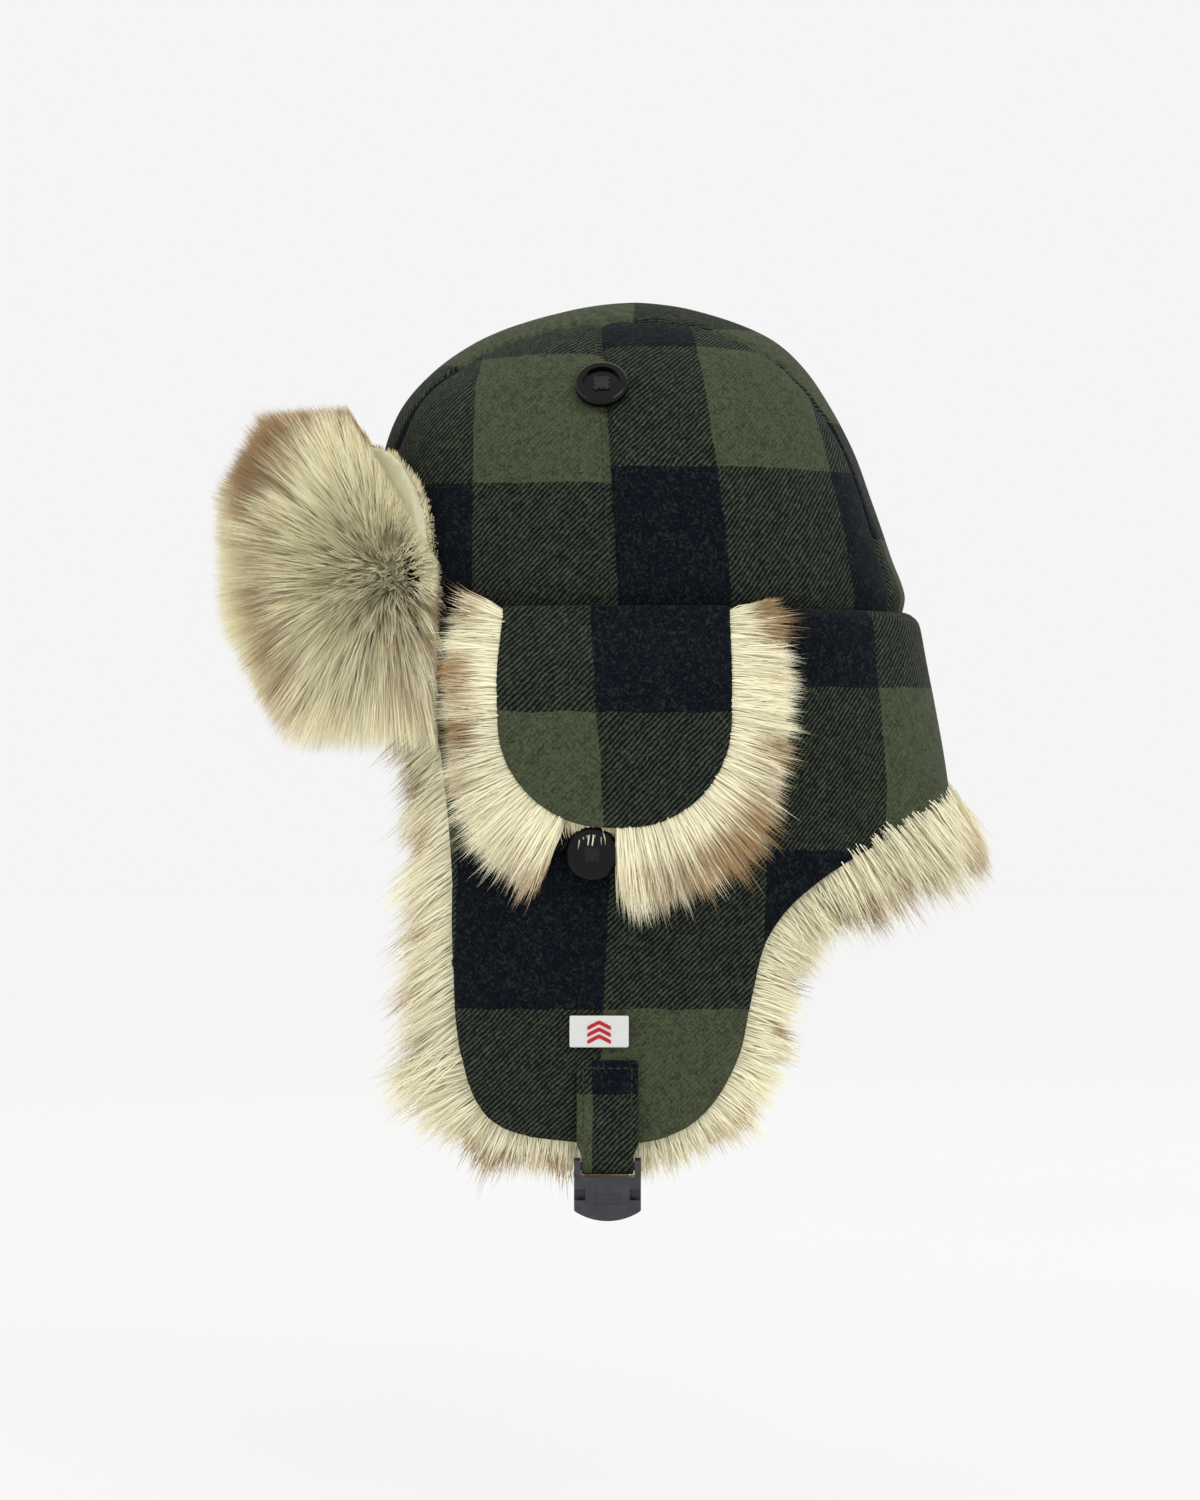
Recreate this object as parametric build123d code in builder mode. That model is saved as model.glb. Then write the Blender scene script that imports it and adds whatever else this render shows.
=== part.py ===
from build123d import *
import os
from math import copysign, cos, pi, radians, sin, sqrt, tan

# Trapper hat with a plaid wool shell, a faux-fur lining, a turned-up fur visor, two long ear flaps
# with a side-release chin buckle, and a buttoned hearing hatch over a port on each side.
# Millimetres. +Z is up, -Y is the wearer's front, +X the wearer's left. The origin is the centre of
# the head opening, level with the seam between the crown and the curtain that hangs below it.

# ---- driving dimensions ----
CLOTH = 2.0                # melton wool
WADDING = 5.5              # quilted wadding of the crown
LINING = 0.8               # satin lining
PILE = 10.0                # faux fur as it lies on the inside of the curtain
CLEARANCE = 0.4            # between soft pieces that move past each other

CROWN_HEIGHT = 123.5
STRIP_HALF_WIDTH_TOP = 27.0
STRIP_TAPER = 0.10         # the strip gets wider by this much per millimetre of depth, each side
SIDE_SEAM_Y = -12.0        # seam between the front and rear side panels, at the curtain seam
SIDE_SEAM_LEAN = -0.06

BROW_DEPTH = 24.0          # the band across the forehead, below the curtain seam
FLAP_FRONT_Y = -86.0       # front edge of the curtain at its seam
FOLD_Z = -130.0            # the ear flaps fold here, just below the neck hem's corner
FOLD_PROUD = 2.0           # the fold's axis lies this far outside the wool
FOLD_REACH = 62.0          # from the axis in to past the flap's front corner
CHIN_SWING = 40            # degrees the flaps swing in under the chin
FUR_OVERHANG = 18.0        # fur lining beyond the wool's front edge
FAR = 150.0                # past the side of every piece

FRONT_HEM_Y, REAR_HEM_Y, REAR_FUR_Y = -77.0, 46.0, 58.0    # the flap's corners at the fold

PORT_Y, PORT_Z = -16.0, -46.0
PORT_WIDTH, PORT_HEIGHT, PORT_CORNER_R = 40.0, 52.0, 18.0

HATCH_TOP_Z = -1.5
HATCH_STANDOFF = 9.4       # outside of the closed hatch, measured from the curtain's wool
HATCH_FUR = 6.8
HATCH_SEAM_INSET = 0.6     # the hatch's cloth and fur close up to this where they join the crown seam
HATCH_FRONT_Y, HATCH_REAR_Y, HATCH_BOTTOM_Z = -56.4, 31.0, -87.0
HATCH_CORNER_R = 40.0
HATCH_BAND = 20.0          # fur band round the hatch
HATCH_NOTCH_RISE = 8.0     # the fur's notch over the button reaches this far above the hem
HATCH_NOTCH_PLAY = 1.5     # on each side of the button

BUTTON_R, BUTTON_H = 10.5, 4.4
BUTTON_RIM, BUTTON_DISH, BUTTON_EDGE_R = 3.2, 1.5, 1.6
BUTTON_HOLE_R, BUTTON_HOLE_PITCH = 1.1, 4.2
THREAD_R = 0.9
SHANK = 1.6                # gap that the sewing thread holds under a button
CROWN_BUTTON = (-18.4, 83.2)
HATCH_BUTTON = (-22.0, -97.0)
LOOP_CORD_R, LOOP_R, LOOP_BEND_R = 0.7, 5.2, 1.5
LOOP_TURN_R = 5.0          # the loop's round end, under the button
LOOP_DROP = 11.0           # where it reaches the button's back, above the button's centre
LOOP_TOP = 16.0            # the loop's ends above the button's centre, sewn inside the hatch

LABEL_WIDTH, LABEL_HEIGHT, LABEL_T = 23.0, 12.5, 0.5
LABEL_CENTRE = (-19.5, -166.0)

STRAP_Y = -16.3
STRAP_WIDTH, STRAP_T = 24.0, 3.0
STRAP_TOP_Z, STRAP_END_Z = -177.0, -213.4
LOOP_WIDTH, LOOP_PLAY, LOOP_WALL = 20.2, 0.25, 1.3
BAR_Z, BAR_R = -218.6, 1.6
BAR_PROUD = 1.0            # the bar's middle stands off the strap's by this much
BUCKLE_WIDTH, BUCKLE_T, BUCKLE_END_Z = 26.0, 8.6, -239.5
BUCKLE_WALL, BUCKLE_EDGE_R, BUCKLE_END_RISE = 1.7, 1.6, 4.0
EYE_R = 3.3                # round the bar's ends
BODY_TOP_Z = BAR_Z - 3.9
SLOT_WIDTH = 21.0          # for the strap's loop, between the buckle's arms
WINDOW_Z, WINDOW_HEIGHT = -229.3, 4.4
NOTCH_DEPTH, NOTCH_WIDTH, NOTCH_INSET = 2.2, 3.0, 1.4
PANEL_Z, PANEL_WIDTH, PANEL_HEIGHT, PANEL_DEPTH = -230.9, 9.6, 4.2, 0.6
PLUG_BASE, PLUG_PLAY = 4.5, 0.3
PRONG_WIDTH, PRONG_INSET = 3.4, 5.6
GUIDE_WIDTH, GUIDE_T = 4.4, 2.0

# Level height, middle in Y, half length, half width, squareness of the oval.
CROWN_LEVELS = [
    (0.0, -0.5, 105.5, 80.0, 2.5),
    (22.0, -5.0, 103.0, 82.0, 2.5),
    (44.0, -9.0, 99.5, 81.5, 2.4),
    (64.0, -11.0, 94.5, 77.5, 2.3),
    (82.0, -12.0, 86.0, 69.0, 2.2),
    (97.0, -10.5, 74.0, 56.0, 2.1),
    (108.0, -8.5, 60.0, 41.0, 2.0),
    (116.5, -7.0, 41.0, 25.0, 2.0),
    (CROWN_HEIGHT, -5.0, 12.0, 7.0, 2.0),
]
CURTAIN_LEVELS = [
    (0.0, 0.0, 109.0, 85.0, 2.6),
    (-32.0, 2.0, 111.5, 86.5, 2.9),
    (-76.0, 5.0, 116.5, 87.0, 3.2),
    (-130.0, 6.0, 118.0, 85.0, 3.5),
    (-190.0, 6.0, 118.0, 79.5, 3.6),
    (-250.0, 6.0, 118.0, 73.5, 3.6),
]
# The visor stands up from the brow and leans away from the crown.
VISOR_LEVELS = [
    (-BROW_DEPTH, 0.0, 112.0, 88.0, 2.8),
    (10.0, 0.0, 117.5, 89.0, 2.7),
    (60.0, 0.0, 130.0, 91.0, 2.6),
    (72.0, 0.0, 133.0, 91.5, 2.6),
]
VISOR_CLOTH, VISOR_WADDING = 2.0, 4.0
VISOR_FUR_LEVELS = [
    (-BROW_DEPTH, 0.0, 146.0, 92.0, 2.4),
    (10.0, 0.0, 163.0, 95.0, 2.4),
    (44.0, 0.0, 164.0, 95.0, 2.4),
    (72.0, 0.0, 146.0, 90.0, 2.4),
]
OVAL_POINTS = 16

LEFT, RIGHT = 1, -1
SIDES = {"left": LEFT, "right": RIGHT}


# ---- bulk shapes that several pieces are cut from ----
def oval(centre_y, half_length, half_width, squareness):
    """Points of a superellipse, more square as squareness grows past 2."""
    points = []
    for step in range(OVAL_POINTS):
        angle = 2 * pi * step / OVAL_POINTS
        across, along = cos(angle), sin(angle)
        x = half_width * copysign(abs(across) ** (2 / squareness), across)
        y = half_length * copysign(abs(along) ** (2 / squareness), along)
        points.append((x, centre_y + y))
    return points


def oval_loft(levels, insets):
    """A solid through horizontal ovals, each drawn in by its inset."""
    with BuildPart() as solid:
        for (z, centre_y, half_length, half_width, squareness), inset in zip(levels, insets):
            with BuildSketch(Plane.XY.offset(z)):
                points = oval(centre_y, half_length - inset, half_width - inset, squareness)
                with BuildLine():
                    Spline(*points, periodic=True)
                make_face()
        loft()
    return solid.part


def dome(inset):
    """The crown's solid, drawn in by an even inset from its outer surface."""
    squash = (CROWN_HEIGHT - inset) / CROWN_HEIGHT
    levels = [(z * squash, *rest) for z, *rest in CROWN_LEVELS]
    return oval_loft(levels, [min(inset, rest[2] * 0.6) for z, *rest in CROWN_LEVELS])


def curtain(inset, seam_inset=None):
    """The solid inside the curtain's wool; seam_inset is a different inset at the crown seam."""
    insets = [inset] * len(CURTAIN_LEVELS)
    if seam_inset is not None:
        insets[0] = seam_inset
    return oval_loft(CURTAIN_LEVELS, insets)


def side_face(points, smooth=()):
    """A closed outline in the YZ plane: straight runs through points, then a spline through smooth."""
    with BuildSketch(Plane.YZ) as face:
        with BuildLine():
            Polyline(*points)
            if smooth:
                Spline(points[-1], *smooth, points[0])
            else:
                Line(points[-1], points[0])
        make_face()
    return face.sketch


def side_prism(face, side):
    """A YZ outline extruded outwards from the middle plane on one side."""
    with BuildPart() as prism:
        add(extrude(face, amount=side * FAR, dir=(1, 0, 0)))
    return prism.part


def surface_plane(solid, y, z, side):
    """The plane on a solid's outer surface at (y, z), its normal outwards, its X towards the rear."""
    hits = solid.find_intersection_points(Axis((0, y, z), (side, 0, 0)))
    point, normal = max(hits, key=lambda hit: hit[0].X * side)
    outwards = Vector(normal.X, normal.Y, normal.Z)
    if outwards.X * side < 0:
        outwards = outwards * -1
    return Plane(origin=point, x_dir=(0, 1, 0), z_dir=outwards)


crown_outer, crown_cloth_inside = dome(0), dome(CLOTH)
crown_wadding_inside, crown_lining_inside = dome(CLOTH + WADDING), dome(CLOTH + WADDING + LINING)
curtain_outer, curtain_cloth_inside = curtain(0), curtain(CLOTH)
curtain_fur_inside = curtain(CLOTH + PILE)


def save(piece, name):
    """Labels a finished piece and writes its STEP file."""
    piece.part.label = name
    export_step(piece.part, f"parts/{name}.step")


# ---- crown ----
def strip_prism():
    """The wedge that holds the centre panel, from front to back over the head."""
    half_top = STRIP_HALF_WIDTH_TOP
    half_bottom = half_top + STRIP_TAPER * CROWN_HEIGHT
    with BuildPart() as prism:
        with BuildSketch(Plane.XZ):
            with BuildLine():
                Polyline((-half_bottom, 0), (half_bottom, 0), (half_top, CROWN_HEIGHT + 1),
                         (-half_top, CROWN_HEIGHT + 1), close=True)
            make_face()
        extrude(amount=FAR, both=True)
    return prism.part


centre_wedge = strip_prism()

with BuildPart() as crown_centre_panel:
    add(crown_outer)
    add(crown_cloth_inside, mode=Mode.SUBTRACT)
    add(centre_wedge, mode=Mode.INTERSECT)
save(crown_centre_panel, "crown_centre_panel")

for side_name, side in SIDES.items():
    for end_name, end in {"front": -1, "rear": 1}.items():
        seam_top = (SIDE_SEAM_Y + SIDE_SEAM_LEAN * (CROWN_HEIGHT + 1), CROWN_HEIGHT + 1)
        quarter = side_face([(SIDE_SEAM_Y, 0), seam_top, (end * FAR, CROWN_HEIGHT + 1), (end * FAR, 0)])
        with BuildPart() as crown_side_panel:
            add(crown_outer)
            add(crown_cloth_inside, mode=Mode.SUBTRACT)
            add(centre_wedge, mode=Mode.SUBTRACT)
            add(side_prism(quarter, side), mode=Mode.INTERSECT)
        save(crown_side_panel, f"crown_{side_name}_{end_name}_panel")

with BuildPart() as crown_wadding:
    add(crown_cloth_inside)
    add(crown_wadding_inside, mode=Mode.SUBTRACT)
save(crown_wadding, "crown_wadding")

with BuildPart() as crown_lining:
    add(crown_wadding_inside)
    add(crown_lining_inside, mode=Mode.SUBTRACT)
save(crown_lining, "crown_lining")

# ---- brow band and curtain ----
brow_front = side_face([(-FAR, 0), (FLAP_FRONT_Y, 0), (FLAP_FRONT_Y, -BROW_DEPTH), (-FAR, -BROW_DEPTH)])
brow_region = side_prism(brow_front, LEFT) + side_prism(brow_front, RIGHT)
for name, outside, inside in [
    ("brow_band", curtain_outer, curtain_cloth_inside),
    ("brow_lining", curtain_cloth_inside, curtain(CLOTH + WADDING)),
]:
    with BuildPart() as brow_piece:
        add(outside)
        add(inside, mode=Mode.SUBTRACT)
        add(brow_region, mode=Mode.INTERSECT)
    save(brow_piece, name)

# The curtain's wool: seam, front edge, fold line, then the hem up to the neck.
curtain_face = side_face(
    [(140, -74), (140, 0), (FLAP_FRONT_Y, 0), (-81, -60), (FRONT_HEM_Y, -105), (FRONT_HEM_Y, FOLD_Z),
     (REAR_HEM_Y, FOLD_Z)],
    [(61, -112), (89, -94), (118, -79)],
)
# Its fur lining shows beyond the wool at the front, below the visor, and at the neck hem.
curtain_fur_face = side_face(
    [(FAR, -92), (FAR, 0), (FLAP_FRONT_Y, 0), (-83, -66), (FRONT_HEM_Y - FUR_OVERHANG, -80),
     (FRONT_HEM_Y - FUR_OVERHANG, FOLD_Z), (REAR_FUR_Y, FOLD_Z)],
    [(80, -122), (100, -116), (128, -102)],
)
with BuildPart() as port:
    with BuildSketch(Plane.YZ):
        with Locations((PORT_Y, PORT_Z)):
            RectangleRounded(PORT_WIDTH, PORT_HEIGHT, PORT_CORNER_R)
    extrude(amount=FAR, both=True)

for side_name, side in SIDES.items():
    for name, outside, inside, face in [
        ("curtain_shell", curtain_outer, curtain_cloth_inside, curtain_face),
        ("curtain_fur", curtain_cloth_inside, curtain_fur_inside, curtain_fur_face),
    ]:
        with BuildPart() as curtain_piece:
            add(outside)
            add(inside, mode=Mode.SUBTRACT)
            add(side_prism(face, side), mode=Mode.INTERSECT)
            add(port.part, mode=Mode.SUBTRACT)
        save(curtain_piece, f"{side_name}_{name}")

# ---- ear flaps, below the fold ----
flap_face = side_face(
    [(REAR_HEM_Y, FOLD_Z), (FRONT_HEM_Y, FOLD_Z)],
    [(-74.5, -172), (-62, -201), (-30, -209.6), (0, -209.6), (20, -200), (34, -178), (40, -152)],
)
flap_fur_face = side_face(
    [(REAR_FUR_Y, FOLD_Z), (FRONT_HEM_Y - FUR_OVERHANG, FOLD_Z)],
    [(-92, -178), (-72, -208), (-32, -213.4), (2, -213.4), (34, -206), (49, -180), (54, -152)],
)
fold_x = surface_plane(curtain_outer, STRAP_Y, FOLD_Z, LEFT).origin.X + FOLD_PROUD


def fold_notch(side):
    """The wedge that the flap leaves free, so that it can swing in under the chin."""
    inner_x = fold_x - FOLD_REACH
    top_z, low_z = FOLD_Z + 1, FOLD_Z - CLEARANCE
    drop = FOLD_REACH * tan(radians(CHIN_SWING))
    with BuildPart() as notch:
        with BuildSketch(Plane.XZ):
            with BuildLine():
                Polyline((side * fold_x, low_z), (side * inner_x, low_z - drop), (side * inner_x, top_z),
                         (side * fold_x, top_z), close=True)
            make_face()
        extrude(amount=FAR, both=True)
    return notch.part


for side_name, side in SIDES.items():
    for name, outside, inside, face in [
        ("ear_flap_shell", curtain_outer, curtain_cloth_inside, flap_face),
        ("ear_flap_fur", curtain_cloth_inside, curtain_fur_inside, flap_fur_face),
    ]:
        with BuildPart() as flap_piece:
            add(outside)
            add(inside, mode=Mode.SUBTRACT)
            add(side_prism(face, side), mode=Mode.INTERSECT)
            add(fold_notch(side), mode=Mode.SUBTRACT)
        save(flap_piece, f"{side_name}_{name}")

# ---- visor ----
def visor_solid(proud):
    """The solid inside the visor's back, grown outwards."""
    return oval_loft(VISOR_LEVELS, [-proud] * len(VISOR_LEVELS))


visor_base_z = -BROW_DEPTH + CLEARANCE
visor_face = side_face(
    [(-150, visor_base_z), (-89, visor_base_z)],
    [(-88, 0), (-94, 30), (-112, 50), (-150, 52)],
)
visor_fur_face = side_face(
    [(-190, visor_base_z), (-90, visor_base_z)],
    [(-88, 2), (-92, 38), (-106, 62), (-150, 72), (-190, 72)],
)
visor_back, visor_cloth_front = visor_solid(0), visor_solid(VISOR_CLOTH)
visor_wadding_front = visor_solid(VISOR_CLOTH + VISOR_WADDING)
visor_fur_front = oval_loft(VISOR_FUR_LEVELS, [0] * len(VISOR_FUR_LEVELS))
for name, outside, inside, face in [
    ("visor_shell", visor_cloth_front, visor_back, visor_face),
    ("visor_wadding", visor_wadding_front, visor_cloth_front, visor_face),
    ("visor_fur", visor_fur_front, visor_wadding_front, visor_fur_face),
]:
    with BuildPart() as visor_piece:
        add(outside)
        add(inside, mode=Mode.SUBTRACT)
        add(side_prism(face, LEFT) + side_prism(face, RIGHT), mode=Mode.INTERSECT)
    save(visor_piece, name)

# ---- hearing hatches ----
hatch_outside = curtain(-HATCH_STANDOFF, -CLOTH - HATCH_SEAM_INSET)
hatch_cloth_inside = curtain(CLOTH - HATCH_STANDOFF, -HATCH_SEAM_INSET)
hatch_fur_inside = curtain(CLOTH + HATCH_FUR - HATCH_STANDOFF, 0.1 - HATCH_SEAM_INSET)


def hatch_outline(grow, notch_width):
    """The hatch's U shape, grown outwards, with a notch at its lowest point for the button."""
    front, rear, bottom = HATCH_FRONT_Y - grow, HATCH_REAR_Y + grow, HATCH_BOTTOM_Z - grow
    corner = HATCH_CORNER_R + grow / 2
    side_end = bottom + corner
    with BuildSketch(Plane.YZ) as outline:
        with BuildLine():
            Polyline((front, side_end), (front, HATCH_TOP_Z), (rear, HATCH_TOP_Z), (rear, side_end))
            RadiusArc((rear, side_end), (rear - corner, bottom), corner)
            Line((rear - corner, bottom), (front + corner, bottom))
            RadiusArc((front + corner, bottom), (front, side_end), corner)
        make_face()
        if notch_width:
            with Locations((HATCH_BUTTON[0], bottom)):
                Rectangle(notch_width, 2 * (HATCH_BOTTOM_Z - bottom + HATCH_NOTCH_RISE), mode=Mode.SUBTRACT)
    return outline.sketch


for side_name, side in SIDES.items():
    for name, outside, inside, grow, notch_width in [
        ("hatch_shell", hatch_outside, hatch_cloth_inside, 0.0, 0.0),
        ("hatch_fur", hatch_cloth_inside, hatch_fur_inside, HATCH_BAND, 2 * (BUTTON_R + HATCH_NOTCH_PLAY)),
    ]:
        with BuildPart() as hatch_piece:
            add(outside)
            add(inside, mode=Mode.SUBTRACT)
            add(side_prism(hatch_outline(grow, notch_width), side), mode=Mode.INTERSECT)
        save(hatch_piece, f"{side_name}_{name}")


# ---- buttons, their thread and the hatch loops ----
def sew_button(plane, name):
    """A four-hole button with a raised rim, on a thread shank above the cloth."""
    seat = plane.offset(SHANK)
    with BuildPart(seat) as button:
        Cylinder(BUTTON_R, BUTTON_H, align=(Align.CENTER, Align.CENTER, Align.MIN))
        fillet(button.edges().filter_by(GeomType.CIRCLE), BUTTON_EDGE_R)
        with BuildSketch(seat.offset(BUTTON_H)):
            Circle(BUTTON_R - BUTTON_RIM)
        extrude(amount=-BUTTON_DISH, mode=Mode.SUBTRACT)
        with BuildSketch(seat):
            with GridLocations(BUTTON_HOLE_PITCH, BUTTON_HOLE_PITCH, 2, 2):
                Circle(BUTTON_HOLE_R)
        extrude(amount=BUTTON_H, mode=Mode.SUBTRACT)
    save(button, name)


def sewing_thread(plane):
    """The thread of one button: four legs through its holes, joined over and under it."""
    half = BUTTON_HOLE_PITCH / 2
    diagonal = 2 * (half * sqrt(2) + THREAD_R)
    top = SHANK + BUTTON_H - BUTTON_DISH
    with BuildPart(plane) as thread:
        with BuildSketch(plane):
            with GridLocations(BUTTON_HOLE_PITCH, BUTTON_HOLE_PITCH, 2, 2):
                Circle(THREAD_R)
        extrude(amount=top)
        with BuildSketch(plane.offset(top)):
            Rectangle(2 * (half + THREAD_R), 2 * THREAD_R)
            Rectangle(2 * THREAD_R, 2 * (half + THREAD_R))
            with GridLocations(BUTTON_HOLE_PITCH, BUTTON_HOLE_PITCH, 2, 2):
                Circle(THREAD_R)
            Rectangle(diagonal, 2 * THREAD_R, rotation=45)
            Rectangle(diagonal, 2 * THREAD_R, rotation=-45)
        extrude(amount=THREAD_R)
    return thread.part


threads = []
for side_name, side in SIDES.items():
    crown_seat = surface_plane(crown_outer, *CROWN_BUTTON, side)
    hatch_seat = surface_plane(curtain_outer, *HATCH_BUTTON, side)
    sew_button(crown_seat, f"{side_name}_crown_button")
    sew_button(hatch_seat, f"{side_name}_hatch_button")
    threads += [sewing_thread(crown_seat), sewing_thread(hatch_seat)]

    # The loop hangs from the inside of the hatch's cloth and passes under the button, round its shank.
    low = SHANK / 2
    high = HATCH_STANDOFF - CLOTH - LOOP_CORD_R
    rise = 1 if hatch_seat.y_dir.Z > 0 else -1
    corners = [(-LOOP_R, LOOP_TOP, high), (-LOOP_R, LOOP_DROP, low), (-LOOP_R, -LOOP_R, low),
               (LOOP_R, -LOOP_R, low), (LOOP_R, LOOP_DROP, low), (LOOP_R, LOOP_TOP, high)]
    route = [hatch_seat.from_local_coords((x, rise * y, height)) for x, y, height in corners]
    with BuildPart() as hatch_loop:
        with BuildLine() as loop_path:
            FilletPolyline(*route, radius=[LOOP_BEND_R, LOOP_TURN_R, LOOP_TURN_R, LOOP_BEND_R])
        with BuildSketch(Plane(origin=loop_path.line @ 0, z_dir=loop_path.line % 0)):
            Circle(LOOP_CORD_R)
        sweep(path=loop_path.line)
    save(hatch_loop, f"{side_name}_hatch_loop")

button_threads = Compound(label="button_threads", children=threads)
export_step(button_threads, "parts/button_threads.step")

# ---- woven label on the left ear flap ----
label_seat = surface_plane(curtain_outer, *LABEL_CENTRE, LEFT)
with BuildPart(label_seat) as woven_label:
    Box(LABEL_WIDTH, LABEL_HEIGHT, LABEL_T, align=(Align.CENTER, Align.CENTER, Align.MIN))
save(woven_label, "woven_label")

# ---- strap tabs and buckle ----
strap_back_x = surface_plane(curtain_outer, STRAP_Y, STRAP_TOP_Z, LEFT).origin.X
bar_x = surface_plane(curtain_outer, STRAP_Y, STRAP_END_Z, LEFT).origin.X + STRAP_T / 2 + BAR_PROUD
ring_r = BAR_R + LOOP_PLAY


def strap_tab(side):
    """A wool tab sewn to the flap, with a narrower loop round the buckle's bar."""
    face_x, outer_x, inner_x = strap_back_x + STRAP_T, bar_x + STRAP_T / 2, bar_x - STRAP_T / 2
    with BuildPart() as tab:
        with BuildSketch(Plane.XZ.offset(-STRAP_Y)):
            with BuildLine():
                Polyline((side * strap_back_x, STRAP_TOP_Z), (side * face_x, STRAP_TOP_Z),
                         (side * outer_x, STRAP_END_Z), (side * inner_x, STRAP_END_Z), close=True)
            make_face()
        extrude(amount=STRAP_WIDTH / 2, both=True)
        with BuildSketch(Plane.XZ.offset(-STRAP_Y)):
            with BuildLine():
                Polyline((side * inner_x, STRAP_END_Z), (side * outer_x, STRAP_END_Z),
                         (side * outer_x, BAR_Z), (side * inner_x, BAR_Z), close=True)
            make_face()
            with Locations((side * bar_x, BAR_Z)):
                Circle(ring_r + LOOP_WALL)
            with Locations((side * bar_x, BAR_Z)):
                Circle(ring_r, mode=Mode.SUBTRACT)
        extrude(amount=LOOP_WIDTH / 2, both=True)
    return tab


for side_name, side in SIDES.items():
    save(strap_tab(side), f"{side_name}_strap_tab")

half_t, half_w = BUCKLE_T / 2, BUCKLE_WIDTH / 2


def buckle_frame(side):
    """The end that both buckle halves share: two arms with a bar between them."""
    arm = half_w - SLOT_WIDTH / 2
    with BuildPart() as frame:
        with BuildSketch(Plane.XZ.offset(-STRAP_Y)):
            with Locations((side * bar_x, BAR_Z)):
                Circle(EYE_R)
            with Locations((side * bar_x, (BAR_Z + BODY_TOP_Z) / 2)):
                Rectangle(2 * EYE_R, BAR_Z - BODY_TOP_Z)
        extrude(amount=half_w, both=True)
        with Locations((side * bar_x, STRAP_Y, BAR_Z)):
            Box(2 * BUCKLE_T, SLOT_WIDTH, 2 * (BAR_Z - BODY_TOP_Z), mode=Mode.SUBTRACT)
        with Locations((side * bar_x, STRAP_Y, BAR_Z)):
            Cylinder(BAR_R, SLOT_WIDTH + arm, rotation=(90, 0, 0))
    return frame.part


front_y, rear_y = STRAP_Y - half_w, STRAP_Y + half_w
corner_z = BUCKLE_END_Z + BUCKLE_END_RISE
with BuildPart() as buckle_socket:
    with BuildSketch(Plane.YZ.offset(bar_x)):
        with BuildLine():
            Polyline((front_y, corner_z), (front_y, BODY_TOP_Z), (rear_y, BODY_TOP_Z), (rear_y, corner_z))
            ThreePointArc((rear_y, corner_z), (STRAP_Y, BUCKLE_END_Z), (front_y, corner_z))
        make_face()
    extrude(amount=half_t, both=True)
    fillet(buckle_socket.edges().filter_by(Axis.Z), BUCKLE_EDGE_R)
    # The cavity that takes the prongs, open at the lower end, with a window in each side.
    cavity_t, cavity_width = BUCKLE_T - 2 * BUCKLE_WALL, BUCKLE_WIDTH - 2 * BUCKLE_WALL
    cavity_height = BODY_TOP_Z - BUCKLE_WALL - BUCKLE_END_Z
    with Locations((bar_x, STRAP_Y, BUCKLE_END_Z)):
        Box(cavity_t, cavity_width, 2 * cavity_height, mode=Mode.SUBTRACT)
    with Locations((bar_x, STRAP_Y, WINDOW_Z)):
        Box(cavity_t, BUCKLE_WIDTH + 2, WINDOW_HEIGHT, mode=Mode.SUBTRACT)
    # Release notches reach round onto the outer face, beside a shallow central panel.
    for end in (-1, 1):
        with Locations((bar_x + half_t, STRAP_Y + end * (half_w - NOTCH_INSET), WINDOW_Z)):
            Box(2 * NOTCH_DEPTH, 2 * NOTCH_WIDTH, WINDOW_HEIGHT, mode=Mode.SUBTRACT)
    with Locations((bar_x + half_t, STRAP_Y, PANEL_Z)):
        Box(2 * PANEL_DEPTH, PANEL_WIDTH, PANEL_HEIGHT, mode=Mode.SUBTRACT)
    add(buckle_frame(LEFT))
save(buckle_socket, "buckle_socket")

base_end_z = BODY_TOP_Z - PLUG_BASE
plug_t = BUCKLE_T - 2 * (BUCKLE_WALL + PLUG_PLAY)
# One springy arm: distance out from its root and height below the plug's base, the bulge half way.
prong_outline = [(-PRONG_WIDTH / 2, 1.0), (PRONG_WIDTH / 2, 1.0), (3.6, -4.2), (3.6, -7.4),
                 (1.2, BUCKLE_END_Z - base_end_z), (-1.0, BUCKLE_END_Z - base_end_z), (-0.2, -4.2)]
with BuildPart() as buckle_plug:
    with Locations((-bar_x, STRAP_Y, (BODY_TOP_Z + base_end_z) / 2)):
        Box(BUCKLE_T, BUCKLE_WIDTH, BODY_TOP_Z - base_end_z)
    fillet(buckle_plug.edges().filter_by(Axis.Z), BUCKLE_EDGE_R)
    for end in (-1, 1):
        root_y = STRAP_Y + end * (half_w - PRONG_INSET)
        with BuildSketch(Plane.YZ.offset(-bar_x)):
            with BuildLine():
                Polyline(*[(root_y + end * out, base_end_z + rise) for out, rise in prong_outline], close=True)
            make_face()
        extrude(amount=plug_t / 2, both=True)
    # A flat guide between the arms.
    with Locations((-bar_x, STRAP_Y, (base_end_z + BUCKLE_END_Z) / 2)):
        Box(GUIDE_T, GUIDE_WIDTH, base_end_z - BUCKLE_END_Z)
    add(buckle_frame(RIGHT))
save(buckle_plug, "buckle_plug")

print(f"ear flap fold at x = {fold_x:.2f}, z = {FOLD_Z}; buckle bar at x = {bar_x:.2f}, z = {BAR_Z}")
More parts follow.
